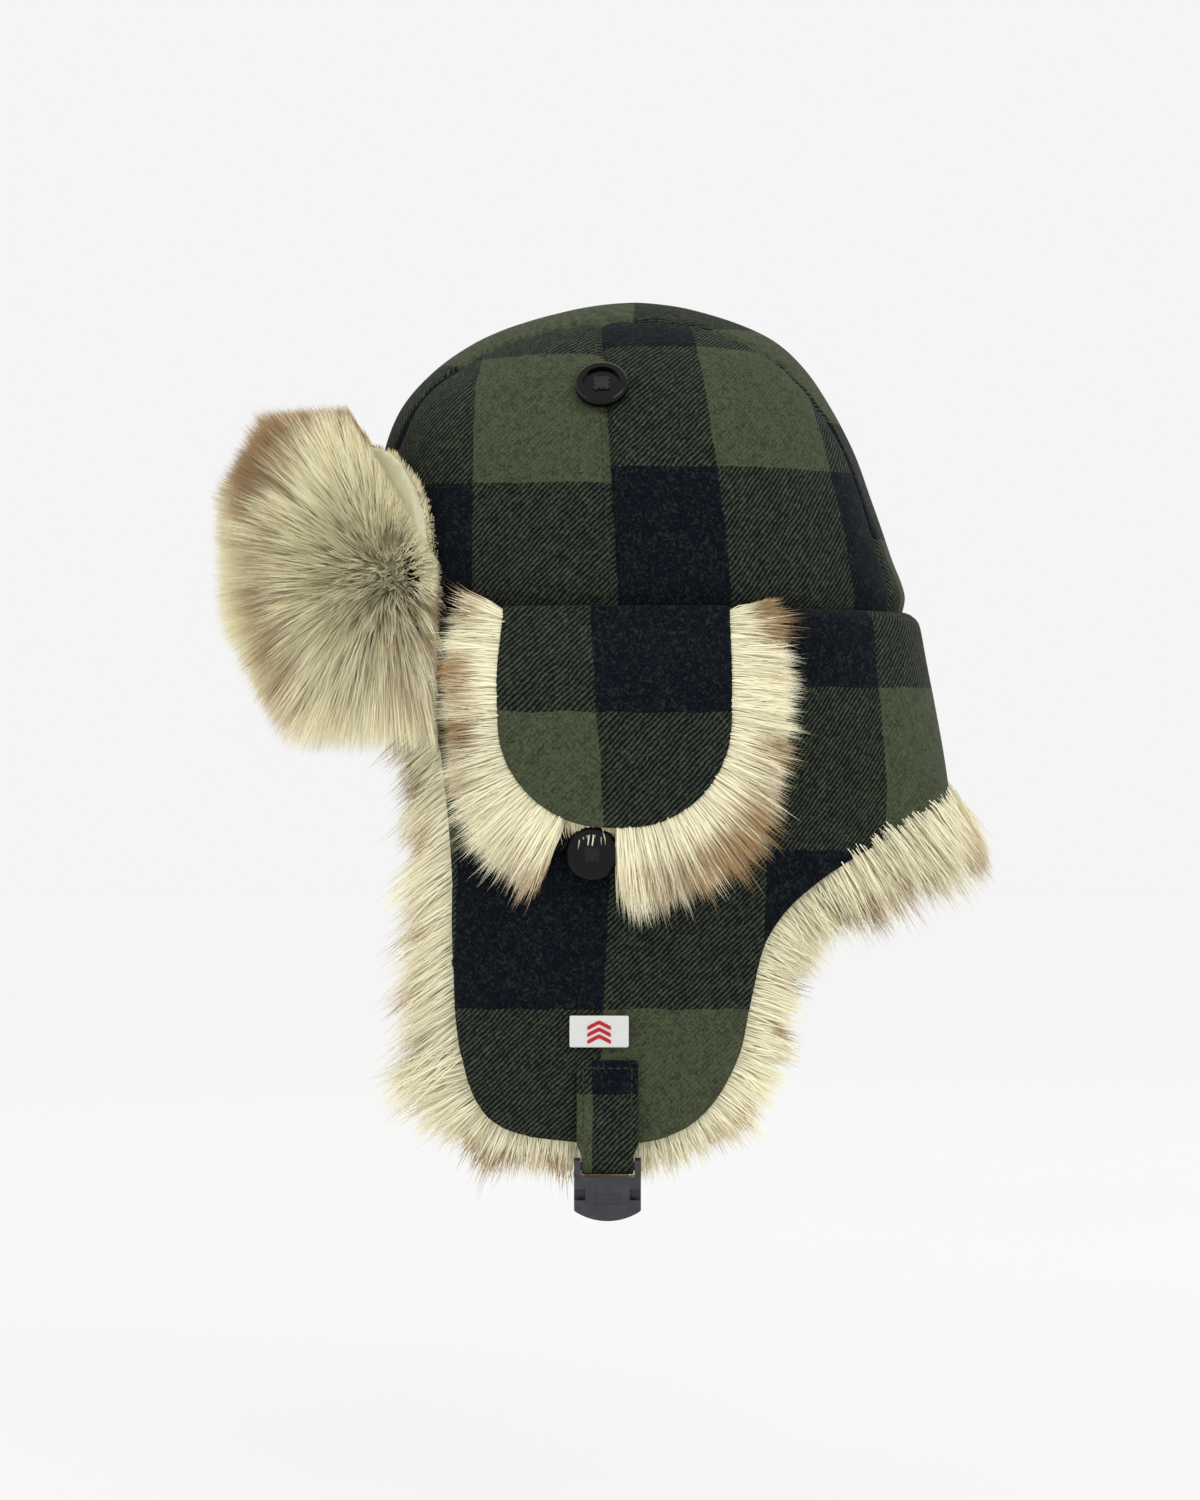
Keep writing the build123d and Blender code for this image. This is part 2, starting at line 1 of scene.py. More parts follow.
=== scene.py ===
"""Trapper hat: plaid wool shell, faux-fur lining and visor, hearing hatches, chin buckle.

Lengths in the dataclasses are millimetres in the hat's own frame: +Z up, -Y the wearer's front,
+X the wearer's left, with the origin at the centre of the head opening at the crown's seam.
"""
import bmesh
import bpy
import logging
import math
import numpy as np
from dataclasses import dataclass, field
from enum import Enum
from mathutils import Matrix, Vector
from mathutils.kdtree import KDTree


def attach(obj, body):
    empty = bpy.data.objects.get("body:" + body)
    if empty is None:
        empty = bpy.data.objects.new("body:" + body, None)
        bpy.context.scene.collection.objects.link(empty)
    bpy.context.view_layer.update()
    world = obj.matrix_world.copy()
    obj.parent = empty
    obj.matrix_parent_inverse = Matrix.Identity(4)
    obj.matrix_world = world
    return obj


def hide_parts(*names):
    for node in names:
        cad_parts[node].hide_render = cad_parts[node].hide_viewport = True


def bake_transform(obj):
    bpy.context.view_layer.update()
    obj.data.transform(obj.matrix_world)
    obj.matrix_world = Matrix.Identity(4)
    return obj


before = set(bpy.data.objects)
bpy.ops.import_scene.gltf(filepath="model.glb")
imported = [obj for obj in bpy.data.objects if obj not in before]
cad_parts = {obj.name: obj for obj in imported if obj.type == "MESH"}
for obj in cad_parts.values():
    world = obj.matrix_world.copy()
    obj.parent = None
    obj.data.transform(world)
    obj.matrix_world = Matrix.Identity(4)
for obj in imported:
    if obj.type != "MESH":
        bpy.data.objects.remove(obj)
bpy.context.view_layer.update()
log = logging.getLogger("trapper_hat")
MM = 0.001


class Side(Enum):
    """The wearer's left or right, as the sign of X."""

    LEFT = 1
    RIGHT = -1

    @property
    def word(self) -> str:
        """The side's name as it stands in piece names."""
        return self.name.lower()


class Slot(Enum):
    """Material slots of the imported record."""

    WOOL = "plaid_wool"
    FUR = "faux_fur"
    LINING = "satin_lining"
    WADDING = "wadding"
    BUTTON = "button_plastic"
    BUCKLE = "buckle_plastic"
    THREAD = "sewing_thread"
    ELASTIC = "elastic_cord"
    LABEL = "label_weave"


# ---------------------------------------------------------------- the forms that cloth lies on
def smooth_columns(at: np.ndarray, stops: np.ndarray, columns: np.ndarray) -> np.ndarray:
    """Interpolates columns of numbers with a curve that keeps its slope through every stop.

    Args:
        at: where to read, any shape flattened to one row.
        stops: rising positions of the given rows.
        columns: one row of numbers per stop.

    Returns:
        One row of numbers for each place in at.
    """
    slopes = np.gradient(columns, stops, axis=0)
    at = np.clip(at, stops[0], stops[-1])
    index = np.clip(np.searchsorted(stops, at, side="right") - 1, 0, len(stops) - 2)
    width = (stops[index + 1] - stops[index])[:, None]
    share = ((at - stops[index])[:, None]) / width
    low, high = columns[index], columns[index + 1]
    low_slope, high_slope = slopes[index] * width, slopes[index + 1] * width
    square, cube = share**2, share**3
    return ((2 * cube - 3 * square + 1) * low + (cube - 2 * square + share) * low_slope
            + (3 * square - 2 * cube) * high + (cube - square) * high_slope)


@dataclass
class Form:
    """A body of horizontal ovals, as a hatter's block, with lengths measured along its surface.

    A place on it is an angle, 0 at the wearer's left and 90 degrees at the back, and a run: the
    length along the surface from the crown's seam.
    """

    levels: tuple[tuple[float, float, float, float, float], ...]
    fine: int = 181

    def __post_init__(self) -> None:
        """Works out the run of each level and the table of lengths along the ovals."""
        table = np.array(self.levels, float)
        steps = np.hypot(np.diff(table[:, 0]), np.diff((table[:, 2] + table[:, 3]) / 2))
        self.runs = np.concatenate([[0.0], np.cumsum(steps)])
        self.table = table
        self.angles = np.linspace(-math.pi / 2, math.pi / 2, self.fine)
        self.rows = np.linspace(0, self.runs[-1], 60)
        lengths = []
        for run in self.rows:
            ring = self.points(self.angles, np.full(self.fine, run), 0.0)
            arc = np.concatenate([[0.0], np.cumsum(np.linalg.norm(np.diff(ring, axis=0), axis=1))])
            lengths.append(arc - np.interp(0.0, self.angles, arc))
        self.lengths = np.array(lengths)

    def ring(self, angle: np.ndarray, run: np.ndarray) -> np.ndarray:
        """Points on the bare surface.

        Args:
            angle: angles in radians.
            run: runs in millimetres, one for each angle.

        Returns:
            One row of x, y, z for each place.
        """
        z, middle, length, width, square = smooth_columns(run, self.runs, self.table).T
        across, along = np.cos(angle), np.sin(angle)
        radius = (np.abs(across / width) ** square + np.abs(along / length) ** square) ** (-1 / square)
        return np.stack([radius * across, middle + radius * along, z], axis=1)

    def points(self, angle: np.ndarray, run: np.ndarray, proud: float | np.ndarray) -> np.ndarray:
        """Points a given distance outside the surface.

        Args:
            angle: angles in radians.
            run: runs in millimetres.
            proud: distance outside the surface in millimetres.

        Returns:
            One row of x, y, z for each place.
        """
        base = self.ring(angle, run)
        if np.ndim(proud) == 0 and proud == 0:
            return base
        return base + self.normals(angle, run) * np.reshape(proud, (-1, 1))

    def normals(self, angle: np.ndarray, run: np.ndarray) -> np.ndarray:
        """Outward unit normals of the surface at each angle and run."""
        step = 0.01
        around = self.ring(angle + step, run) - self.ring(angle - step, run)
        inner = np.clip(run, 0.6, self.runs[-1] - 0.6)
        along = self.ring(angle, inner + 0.5) - self.ring(angle, inner - 0.5)
        normal = np.cross(around, along)
        outwards = self.ring(angle, run) - np.array([0.0, 0.0, -20.0 if self.table[-1, 0] > 0 else 0.0])
        outwards[:, 2] *= 1.0 if self.table[-1, 0] > 0 else 0.0
        normal *= np.sign(np.sum(normal * outwards, axis=1))[:, None]
        return normal / np.linalg.norm(normal, axis=1)[:, None]

    def angle_at(self, arc: np.ndarray, run: np.ndarray) -> np.ndarray:
        """The angle that lies a length along the oval from the wearer's left, at each run."""
        place = np.clip(run / self.rows[1], 0, len(self.rows) - 1.001)
        low = place.astype(int)
        share = place - low
        found = [np.interp(a, self.lengths[i] * (1 - s) + self.lengths[i + 1] * s, self.angles)
                 for a, i, s in zip(arc, low, share)]
        return np.array(found)

    def arc_at(self, angle: np.ndarray, run: np.ndarray) -> np.ndarray:
        """The length along the oval from the wearer's left to each angle, at each run."""
        place = np.clip(run / self.rows[1], 0, len(self.rows) - 1.001)
        low = place.astype(int)
        share = place - low
        found = [np.interp(a, self.angles, self.lengths[i] * (1 - s) + self.lengths[i + 1] * s)
                 for a, i, s in zip(angle, low, share)]
        return np.array(found)

    def meridian(self, angle: float, first: float, last: float, count: int = 7) -> list[tuple[float, float]]:
        """The line up or down the surface at one angle, as (arc, run) places.

        Args:
            angle: the angle in radians.
            first: height at which it starts.
            last: height at which it ends.
            count: how many places.

        Returns:
            The places, evenly spread in height.
        """
        run = self.run_at(np.linspace(first, last, count))
        return list(zip(self.arc_at(np.full(count, angle), run), run))

    def run_at(self, z: np.ndarray) -> np.ndarray:
        """The run of a height."""
        fine = np.linspace(0, self.runs[-1], 400)
        heights = smooth_columns(fine, self.runs, self.table)[:, 0]
        order = np.argsort(heights)
        return np.interp(z, heights[order], fine[order])

    def place_of(self, y: np.ndarray, z: np.ndarray) -> tuple[np.ndarray, np.ndarray]:
        """The (arc, run) of a place seen square on from the wearer's left.

        Args:
            y: distances from front to back in millimetres.
            z: heights in millimetres.

        Returns:
            The arcs and the runs.
        """
        run = self.run_at(np.asarray(z, float))
        _, middle, length, width, square = smooth_columns(run, self.runs, self.table).T
        along = np.clip((np.asarray(y, float) - middle) / length, -1, 1)
        across = width * (1 - np.abs(along) ** square) ** (1 / square)
        return self.arc_at(np.arctan2(along * length, across), run), run


SKIRT = 4.0
CROWN_FORM = Form((
    (-SKIRT, 0.0, 104.5, 79.2, 2.5), (0.0, -0.5, 105.5, 80.0, 2.5), (22.0, -5.0, 103.0, 82.0, 2.5),
    (44.0, -9.0, 99.5, 81.5, 2.4),
    (64.0, -11.0, 94.5, 77.5, 2.3), (82.0, -12.0, 86.0, 69.0, 2.2), (97.0, -10.5, 74.0, 56.0, 2.1),
    (108.0, -8.5, 60.0, 41.0, 2.0), (116.5, -7.0, 41.0, 25.0, 2.0), (122.0, -5.5, 20.0, 11.5, 2.0),
    (124.0, -5.0, 0.6, 0.4, 2.0)))
CURTAIN_FORM = Form((
    (0.0, 0.0, 109.0, 85.0, 2.6), (-32.0, 2.0, 111.5, 86.5, 2.9), (-76.0, 5.0, 116.5, 87.0, 3.2),
    (-130.0, 6.0, 118.0, 85.0, 3.5), (-190.0, 6.0, 118.0, 79.5, 3.6), (-250.0, 6.0, 118.0, 73.5, 3.6)))
VISOR_FORM = Form((
    (-24.0, 0.0, 112.0, 88.0, 2.8), (10.0, 0.0, 117.5, 89.0, 2.7), (60.0, 0.0, 130.0, 91.0, 2.6),
    (72.0, 0.0, 133.0, 91.5, 2.6)))
VISOR_FUR_FORM = Form((
    (-24.0, 0.0, 146.0, 92.0, 2.4), (10.0, 0.0, 163.0, 95.0, 2.4), (44.0, 0.0, 164.0, 95.0, 2.4),
    (72.0, 0.0, 146.0, 90.0, 2.4)))


# ---------------------------------------------------------------- work with Blender's operators
def deselect() -> None:
    """Leaves nothing selected and nothing in edit mode."""
    if bpy.context.object and bpy.context.object.mode != "OBJECT":
        bpy.ops.object.mode_set(mode="OBJECT")
    bpy.ops.object.select_all(action="DESELECT")


def activate(piece: bpy.types.Object) -> bpy.types.Object:
    """Makes a piece the only selected and active object."""
    deselect()
    piece.select_set(True)
    bpy.context.view_layer.objects.active = piece
    return piece


def primitive(operator: str, name: str, **sizes: object) -> bpy.types.Object:
    """Adds a primitive mesh.

    Args:
        operator: the part of the operator's name after primitive_ and before _add.
        name: the new object's name.
        **sizes: the operator's own arguments, in metres.

    Returns:
        The new object, selected and active.
    """
    deselect()
    getattr(bpy.ops.mesh, f"primitive_{operator}_add")(**sizes)
    piece = bpy.context.object
    piece.name = piece.data.name = name
    return piece


def apply_modifier(piece: bpy.types.Object, kind: str, **settings: object) -> None:
    """Adds a modifier with its settings and applies it at once.

    Args:
        piece: the mesh object.
        kind: the modifier's type.
        **settings: its settings; levels also sets render_levels.
    """
    activate(piece)
    modifier = piece.modifiers.new(kind.title(), kind)
    for key, value in settings.items():
        setattr(modifier, key, value)
        if key == "levels":
            modifier.render_levels = value
    bpy.ops.object.modifier_apply(modifier=modifier.name)


def join(pieces: list[bpy.types.Object], name: str) -> bpy.types.Object:
    """Joins mesh objects into one piece with a name and returns it."""
    deselect()
    for piece in pieces:
        piece.select_set(True)
    bpy.context.view_layer.objects.active = pieces[0]
    if len(pieces) > 1:
        bpy.ops.object.join()
    pieces[0].name = pieces[0].data.name = name
    return pieces[0]


def settle(piece: bpy.types.Object) -> bpy.types.Object:
    """Applies a piece's place, turn and size to its mesh, so that its object sits at the origin."""
    activate(piece)
    bpy.ops.object.transform_apply(location=True, rotation=True, scale=True)
    return piece


def vertices(piece: bpy.types.Object) -> np.ndarray:
    """The piece's vertex positions in metres."""
    flat = np.empty(len(piece.data.vertices) * 3)
    piece.data.vertices.foreach_get("co", flat)
    return flat.reshape(-1, 3)


def move_vertices(piece: bpy.types.Object, places: np.ndarray) -> None:
    """Puts the piece's vertices at new places, in metres."""
    piece.data.vertices.foreach_set("co", np.ascontiguousarray(places, dtype=np.float32).ravel())
    piece.data.update()


def finish_piece(piece: bpy.types.Object, slot: Slot, material: bpy.types.Material, body: str,
                 *replaced: str) -> bpy.types.Object:
    """Dresses a rigid piece and fixes it to its CAD body.

    Args:
        piece: the finished mesh.
        slot: the record's slot; not used.
        material: its material.
        body: the CAD body it rides on.
        *replaced: CAD nodes that it stands for.

    Returns:
        The piece.
    """
    piece.data.materials.clear()
    piece.data.materials.append(material)
    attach(piece, body)
    if replaced:
        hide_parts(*replaced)
    log.info("%s: %d faces on %s", piece.name, len(piece.data.polygons), body)
    return piece


def bend_piece(piece: bpy.types.Object, slot: Slot, material: bpy.types.Material, fixed: str, moving: str,
               weights: np.ndarray, start: Vector, end: Vector, *replaced: str) -> bpy.types.Object:
    """Dresses a soft piece that lies between two bodies: gives it its material, bakes its place into its mesh
    and hides the CAD nodes it stands for.

    Args:
        piece: the finished mesh.
        slot: the record's slot; not used.
        material: its material.
        fixed: the body at its fixed end, named in the log.
        moving: the body at its moving end, named in the log.
        weights: one number from 0 to 1 for each vertex; not used.
        start: a point where the bend begins; not used.
        end: a point where the bend ends; not used.
        *replaced: CAD nodes that it stands for.

    Returns:
        The piece.
    """
    piece.data.materials.clear()
    piece.data.materials.append(material)
    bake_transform(piece)
    if replaced:
        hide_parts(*replaced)
    log.info("%s: %d faces between %s and %s", piece.name, len(piece.data.polygons), fixed, moving)
    return piece


def ease(values: np.ndarray, low: float, high: float) -> np.ndarray:
    """A smooth 0 to 1 as values go from low to high."""
    share = np.clip((values - low) / (high - low), 0, 1)
    return share * share * (3 - 2 * share)


# ---------------------------------------------------------------- cloth cut from flat patterns
@dataclass
class Plaid:
    """Where a cloth's checks lie: its UV map counts them, from the edges of the green ones.

    Attributes:
        columns: arcs at which a green column begins, ends, begins again and so on.
        rows: runs at which a green row begins, ends, begins again and so on.
        lean: how far the columns lean, in millimetres of arc for each millimetre of run.
        cell: width of the checks beyond the given edges.
    """

    columns: tuple[float, ...] = (0.0,)
    rows: tuple[float, ...] = (0.0,)
    lean: float = 0.0
    cell: float = 60.0

    def count(self, values: np.ndarray, edges: tuple[float, ...]) -> np.ndarray:
        """Counts checks: 0 to 1 across the first green one, 1 to 2 across the black one after it."""
        last = len(edges) - 1
        inner = np.interp(values, edges, np.arange(len(edges)))
        inner = np.where(values < edges[0], (values - edges[0]) / self.cell, inner)
        return np.where(values > edges[-1], last + (values - edges[-1]) / self.cell, inner)

    def across(self, arc: np.ndarray, run: np.ndarray) -> np.ndarray:
        """Checks counted along the oval."""
        return self.count(arc + self.lean * run, self.columns)

    def down(self, run: np.ndarray) -> np.ndarray:
        """Checks counted down the cloth."""
        return self.count(run, self.rows)


def outline_mesh(name: str, outline: np.ndarray) -> bpy.types.Object:
    """A flat face with the given outline, in millimetres kept as metres over a thousand.

    Args:
        name: the new object's name.
        outline: one row of two numbers for each corner, in order.

    Returns:
        The mesh object, lying in the XY plane.
    """
    piece = primitive("circle", name, vertices=len(outline), radius=0.1, fill_type="NGON")
    flat = np.column_stack([outline, np.zeros(len(outline))]) * MM
    move_vertices(piece, flat)
    return piece


def grid_cuts(piece: bpy.types.Object, pitch: float) -> None:
    """Cuts a flat mesh into squares with bisecting lines, pitch millimetres apart."""
    places = vertices(piece) / MM
    activate(piece)
    bpy.ops.object.mode_set(mode="EDIT")
    for axis, normal in ((0, (1, 0, 0)), (1, (0, 1, 0))):
        low, high = places[:, axis].min(), places[:, axis].max()
        count = max(1, round((high - low) / pitch))
        for line in range(1, count):
            at = (low + (high - low) * line / count) * MM
            bpy.ops.mesh.select_all(action="SELECT")
            bpy.ops.mesh.bisect(plane_co=tuple(at * n for n in normal), plane_no=normal)
    bpy.ops.object.mode_set(mode="OBJECT")


def rounded_outline(points: list[tuple[float, float]], spacing: float,
                    sharp: tuple[int, ...] = ()) -> np.ndarray:
    """A smooth closed outline through points, evenly spaced.

    Args:
        points: corners in order.
        spacing: distance between the outline's points in millimetres.
        sharp: indexes of points that stay corners.

    Returns:
        One row of two numbers for each point of the outline.
    """
    given = np.array(points, float)
    count = len(given)
    dense = []
    for i in range(count):
        before, start, end, after = (given[(i + k) % count] for k in (-1, 0, 1, 2))
        leave = (end - start) if i in sharp else (end - before) / 2
        arrive = (end - start) if (i + 1) % count in sharp else (after - start) / 2
        span = np.linalg.norm(end - start)
        leave = leave / max(np.linalg.norm(leave), 1e-9) * span
        arrive = arrive / max(np.linalg.norm(arrive), 1e-9) * span
        steps = max(1, round(span / spacing))
        t = (np.arange(steps) / steps)[:, None]
        dense.append((2 * t**3 - 3 * t**2 + 1) * start + (t**3 - 2 * t**2 + t) * leave
                     + (3 * t**2 - 2 * t**3) * end + (t**3 - t**2) * arrive)
    return np.concatenate(dense)


def pattern_area(outline: np.ndarray) -> float:
    """Area of a closed outline given in millimetres, in square metres."""
    across, down = outline.T
    return abs(float(np.sum(across * np.roll(down, -1) - np.roll(across, -1) * down))) / 2 * MM * MM


@dataclass
class Cloth:
    """A piece of wool cut from a flat pattern and laid on a form.

    Attributes:
        name: the piece's name.
        form: the form it lies on.
        side: the wearer's side.
        outline: the pattern's outline as (arc, run) rows.
        plaid: where its checks lie.
        proud: distance outside the form, a number or a function of (arc, run) arrays.
        pitch: size of the squares it is cut into.
        thickness: the wool's thickness.
    """

    name: str
    form: Form
    side: Side
    outline: np.ndarray
    plaid: Plaid
    proud: object = 0.0
    pitch: float = 4.0
    thickness: float = 2.0
    hole: object = None
    hole_edge: np.ndarray | None = field(default=None, repr=False)

    def flat_piece(self) -> bpy.types.Object:
        """Cuts the pattern, maps its checks and lays it on the form, still without thickness."""
        piece = outline_mesh(self.name, self.outline)
        grid_cuts(piece, self.pitch)
        if self.hole:
            self.hole(piece, self.hole_edge)
        flat = vertices(piece)[:, :2] / MM
        self.map_checks(piece, flat)
        self.lay(piece, flat)
        return piece

    def build(self) -> bpy.types.Object:
        """Makes the whole cloth, with its thickness."""
        piece = self.flat_piece()
        self.thicken(piece)
        return piece

    def map_checks(self, piece: bpy.types.Object, flat: np.ndarray) -> None:
        """Writes the UV map that counts the plaid's checks across the flat pattern."""
        uv = piece.data.uv_layers.get("checks") or piece.data.uv_layers.new(name="checks")
        corners = np.empty(len(piece.data.loops), int)
        piece.data.loops.foreach_get("vertex_index", corners)
        arc, run = flat[corners].T
        across, down = self.plaid.across(arc, run), self.plaid.down(run)
        uv.data.foreach_set("uv", np.column_stack([across, down]).astype(np.float32).ravel())

    def lay(self, piece: bpy.types.Object, flat: np.ndarray) -> None:
        """Moves the flat pattern's vertices onto the form, on this piece's side."""
        arc, run = flat.T
        angle = self.form.angle_at(arc, run)
        proud = self.proud(arc, run) if callable(self.proud) else np.full(len(arc), self.proud)
        laid = self.form.points(angle, run, proud)
        laid[:, 0] *= self.side.value
        move_vertices(piece, laid * MM)

    def close_up(self, piece: bpy.types.Object) -> None:
        """Joins doubled points of the open cloth and faces it outwards."""
        activate(piece)
        bpy.ops.object.mode_set(mode="EDIT")
        bpy.ops.mesh.select_all(action="SELECT")
        bpy.ops.mesh.remove_doubles(threshold=0.0001)
        bpy.ops.mesh.normals_make_consistent(inside=False)
        bpy.ops.object.mode_set(mode="OBJECT")
        self.face_outwards(piece)

    def thicken(self, piece: bpy.types.Object) -> None:
        """Gives the cloth its thickness inwards, with soft edges."""
        self.close_up(piece)
        apply_modifier(piece, "SOLIDIFY", thickness=self.thickness * MM, offset=-1.0)
        apply_modifier(piece, "SUBSURF", levels=1)
        activate(piece)
        bpy.ops.object.shade_smooth()

    def face_outwards(self, piece: bpy.types.Object) -> None:
        """Turns the open cloth's faces away from the middle of the head."""
        total = sum(face.normal.dot(face.center - Vector((0, 0, face.center.z * 0.6)))
                    for face in piece.data.polygons)
        if total < 0:
            activate(piece)
            bpy.ops.object.mode_set(mode="EDIT")
            bpy.ops.mesh.select_all(action="SELECT")
            bpy.ops.mesh.flip_normals()
            bpy.ops.object.mode_set(mode="OBJECT")

    def declare(self, piece: bpy.types.Object, held: str, rests_on: list[str], halves: int = 1) -> None:
        """Works out the width, length and area of the flat pattern the piece was cut from, less its hole.

        Args:
            piece: the finished piece; not used.
            held: how the cloth is held; not used.
            rests_on: the pieces it is sewn to or lies on; not used.
            halves: 2 where the pattern is only half of the piece; not used.
        """
        width, length = np.ptp(self.outline, axis=0) * MM
        area = pattern_area(self.outline)
        if self.hole_edge is not None:
            area -= pattern_area(self.hole_edge)

    def spread(self, arc: np.ndarray, run: np.ndarray, proud: np.ndarray) -> np.ndarray:
        """Places in millimetres on this cloth's side of the form for (arc, run, proud)."""
        laid = self.form.points(self.form.angle_at(arc, run), run, proud)
        laid[:, 0] *= self.side.value
        return laid


# ---------------------------------------------------------------- hair
def patches(places: np.ndarray, size: float, seed: int) -> np.ndarray:
    """A smooth random pattern from 0 to 1.

    Args:
        places: one row of three numbers for each place, in millimetres.
        size: rough width of a patch in millimetres.
        seed: seed of its random waves.

    Returns:
        One number for each place.
    """
    dice = np.random.default_rng(seed)
    waves = dice.normal(size=(9, 3)) * (2.2 / size)
    phases = dice.uniform(0, 2 * math.pi, 9)
    total = np.sin(places @ waves.T + phases).sum(axis=1) / 3.0
    return np.clip(0.5 + total * 0.42, 0, 1)


def unit(rows: np.ndarray) -> np.ndarray:
    """Rows brought to length 1."""
    return rows / np.maximum(np.linalg.norm(rows, axis=1), 1e-9)[:, None]


@dataclass
class Hairs:
    """Many hairs, each a narrow ribbon that tapers to a point.

    Attributes:
        root: places of the roots in millimetres.
        lean: unit directions in which the hairs set off.
        bend: how far each tip has turned away from that direction, in millimetres.
        length: lengths in millimetres.
        face: the way each ribbon's flat side looks.
        light: lightness from 0 to 1.
        brown: brownness of the tips from 0 to 1.
        weight: each hair's share of the moving body.
        width: width at the root in millimetres.
    """

    root: np.ndarray
    lean: np.ndarray
    bend: np.ndarray
    length: np.ndarray
    face: np.ndarray
    light: np.ndarray
    brown: np.ndarray
    weight: np.ndarray
    width: float = 0.5

    def tufted(self, dice: np.random.Generator, share: float = 0.04, pull: float = 0.55) -> "Hairs":
        """Draws the hairs together in tufts that share a length and a tint.

        Args:
            dice: the piece's random source.
            share: tufts for each hair.
            pull: how far the tips move to the tuft's middle.

        Returns:
            The same hairs.
        """
        count = len(self.root)
        heads = dice.choice(count, max(4, int(count * share)), replace=False)
        tree = KDTree(len(heads))
        for i, head in enumerate(heads):
            tree.insert(self.root[head], i)
        tree.balance()
        nearest = np.array([tree.find(place)[1] for place in self.root])
        middle = self.root[heads][nearest]
        self.bend += (middle - self.root) * pull
        self.bend += (self.lean[heads][nearest] - self.lean) * self.length[:, None] * 0.5
        self.length *= dice.normal(1.0, 0.13, len(heads)).clip(0.66, 1.3)[nearest]
        self.light += dice.normal(0, 0.14, len(heads))[nearest]
        self.brown += dice.normal(0, 0.22, len(heads))[nearest]
        return self

    def clipped(self, planes: tuple[tuple[float, float, float], ...], dice: np.random.Generator) -> "Hairs":
        """Shortens the hairs that would reach past upright or sloping planes.

        Args:
            planes: for each, its outward direction in y and z and its limit along that direction.
            dice: the piece's random source.

        Returns:
            The same hairs.
        """
        for along, up, limit in planes:
            outward = np.array([0.0, along, up])
            reach = (self.lean * self.length[:, None] + self.bend) @ outward
            past = self.root @ outward + reach - limit
            cut = (past > 0) & (reach > 0.5)
            share = np.where(cut, np.clip(1 - past / np.maximum(reach, 0.5), 0.22, 1.0), 1.0)
            share = np.where(cut, share * dice.uniform(0.86, 1.0, len(share)), 1.0)
            self.length = self.length * share
            self.bend = self.bend * share[:, None]
        return self

    def mesh(self, name: str, dice: np.random.Generator) -> bpy.types.Object:
        """Makes the ribbons: no operator grows these, so the faces are written straight away.

        Args:
            name: the piece's name.
            dice: the piece's random source.

        Returns:
            The mesh object, with a tint map.
        """
        count = len(self.root)
        steps = np.array([0.0, 0.36, 0.72, 1.0])
        widths = np.array([1.0, 0.9, 0.55, 0.0]) * self.width / 2
        side = unit(np.cross(self.lean, self.face) + dice.normal(0, 0.35, (count, 3)))
        wave = unit(dice.normal(size=(count, 3))) * (self.length * 0.045)[:, None]
        phase = dice.uniform(0, 2 * math.pi, count)
        places = np.empty((count, 7, 3))
        corner = 0
        for step, width in zip(steps, widths):
            middle = (self.root + self.lean * (self.length * step)[:, None] + self.bend * step**2
                      + wave * (np.sin(phase + step * 5.0) * step)[:, None])
            if width:
                places[:, corner] = middle - side * width
                places[:, corner + 1] = middle + side * width
                corner += 2
            else:
                places[:, corner] = middle
        mesh = bpy.data.meshes.new(name)
        mesh.vertices.add(count * 7)
        mesh.vertices.foreach_set("co", (places * MM).astype(np.float32).ravel())
        pattern = np.array([0, 1, 3, 2, 2, 3, 5, 4, 4, 5, 6])
        loops = (np.arange(count)[:, None] * 7 + pattern).astype(np.int32)
        mesh.loops.add(count * 11)
        mesh.loops.foreach_set("vertex_index", loops.ravel())
        starts = (np.arange(count)[:, None] * 11 + np.array([0, 4, 8])).astype(np.int32)
        mesh.polygons.add(count * 3)
        mesh.polygons.foreach_set("loop_start", starts.ravel())
        mesh.update(calc_edges=True)
        mesh.polygons.foreach_set("use_smooth", np.ones(count * 3, bool))
        along = np.array([0, 0, steps[1], steps[1], steps[2], steps[2], 1.0])[pattern]
        uv = np.empty((count, 11, 2))
        uv[:, :, 0] = tint_of(self.light, self.brown)[:, None]
        uv[:, :, 1] = 0.02 + 0.96 * along
        mesh.uv_layers.new(name="OFBake").data.foreach_set("uv", uv.astype(np.float32).ravel())
        piece = bpy.data.objects.new(name, mesh)
        bpy.context.scene.collection.objects.link(piece)
        return piece


TINTS = 8


def tint_of(light: np.ndarray, brown: np.ndarray) -> np.ndarray:
    """The tint map's first number: one of eight lightnesses, and the brownness within it."""
    step = np.clip(np.round(np.clip(light, 0, 1) * (TINTS - 1)), 0, TINTS - 1)
    return (step + 0.06 + 0.88 * np.clip(brown, 0, 1)) / TINTS


def tint_base(piece: bpy.types.Object, light: float = 0.35) -> None:
    """Gives the pile under the hairs its tint map, all at the root's colour."""
    layer = piece.data.uv_layers.get("OFBake") or piece.data.uv_layers.new(name="OFBake")
    places = vertices(piece) / MM
    corners = np.empty(len(piece.data.loops), int)
    piece.data.loops.foreach_get("vertex_index", corners)
    shade = light + (patches(places, 14.0, 5) - 0.5) * 0.5
    uv = np.column_stack([tint_of(shade, shade * 0), np.full(len(places), 0.16)])[corners]
    layer.data.foreach_set("uv", uv.astype(np.float32).ravel())
    for other in [item.name for item in piece.data.uv_layers if item.name != "OFBake"]:
        piece.data.uv_layers.remove(piece.data.uv_layers[other])


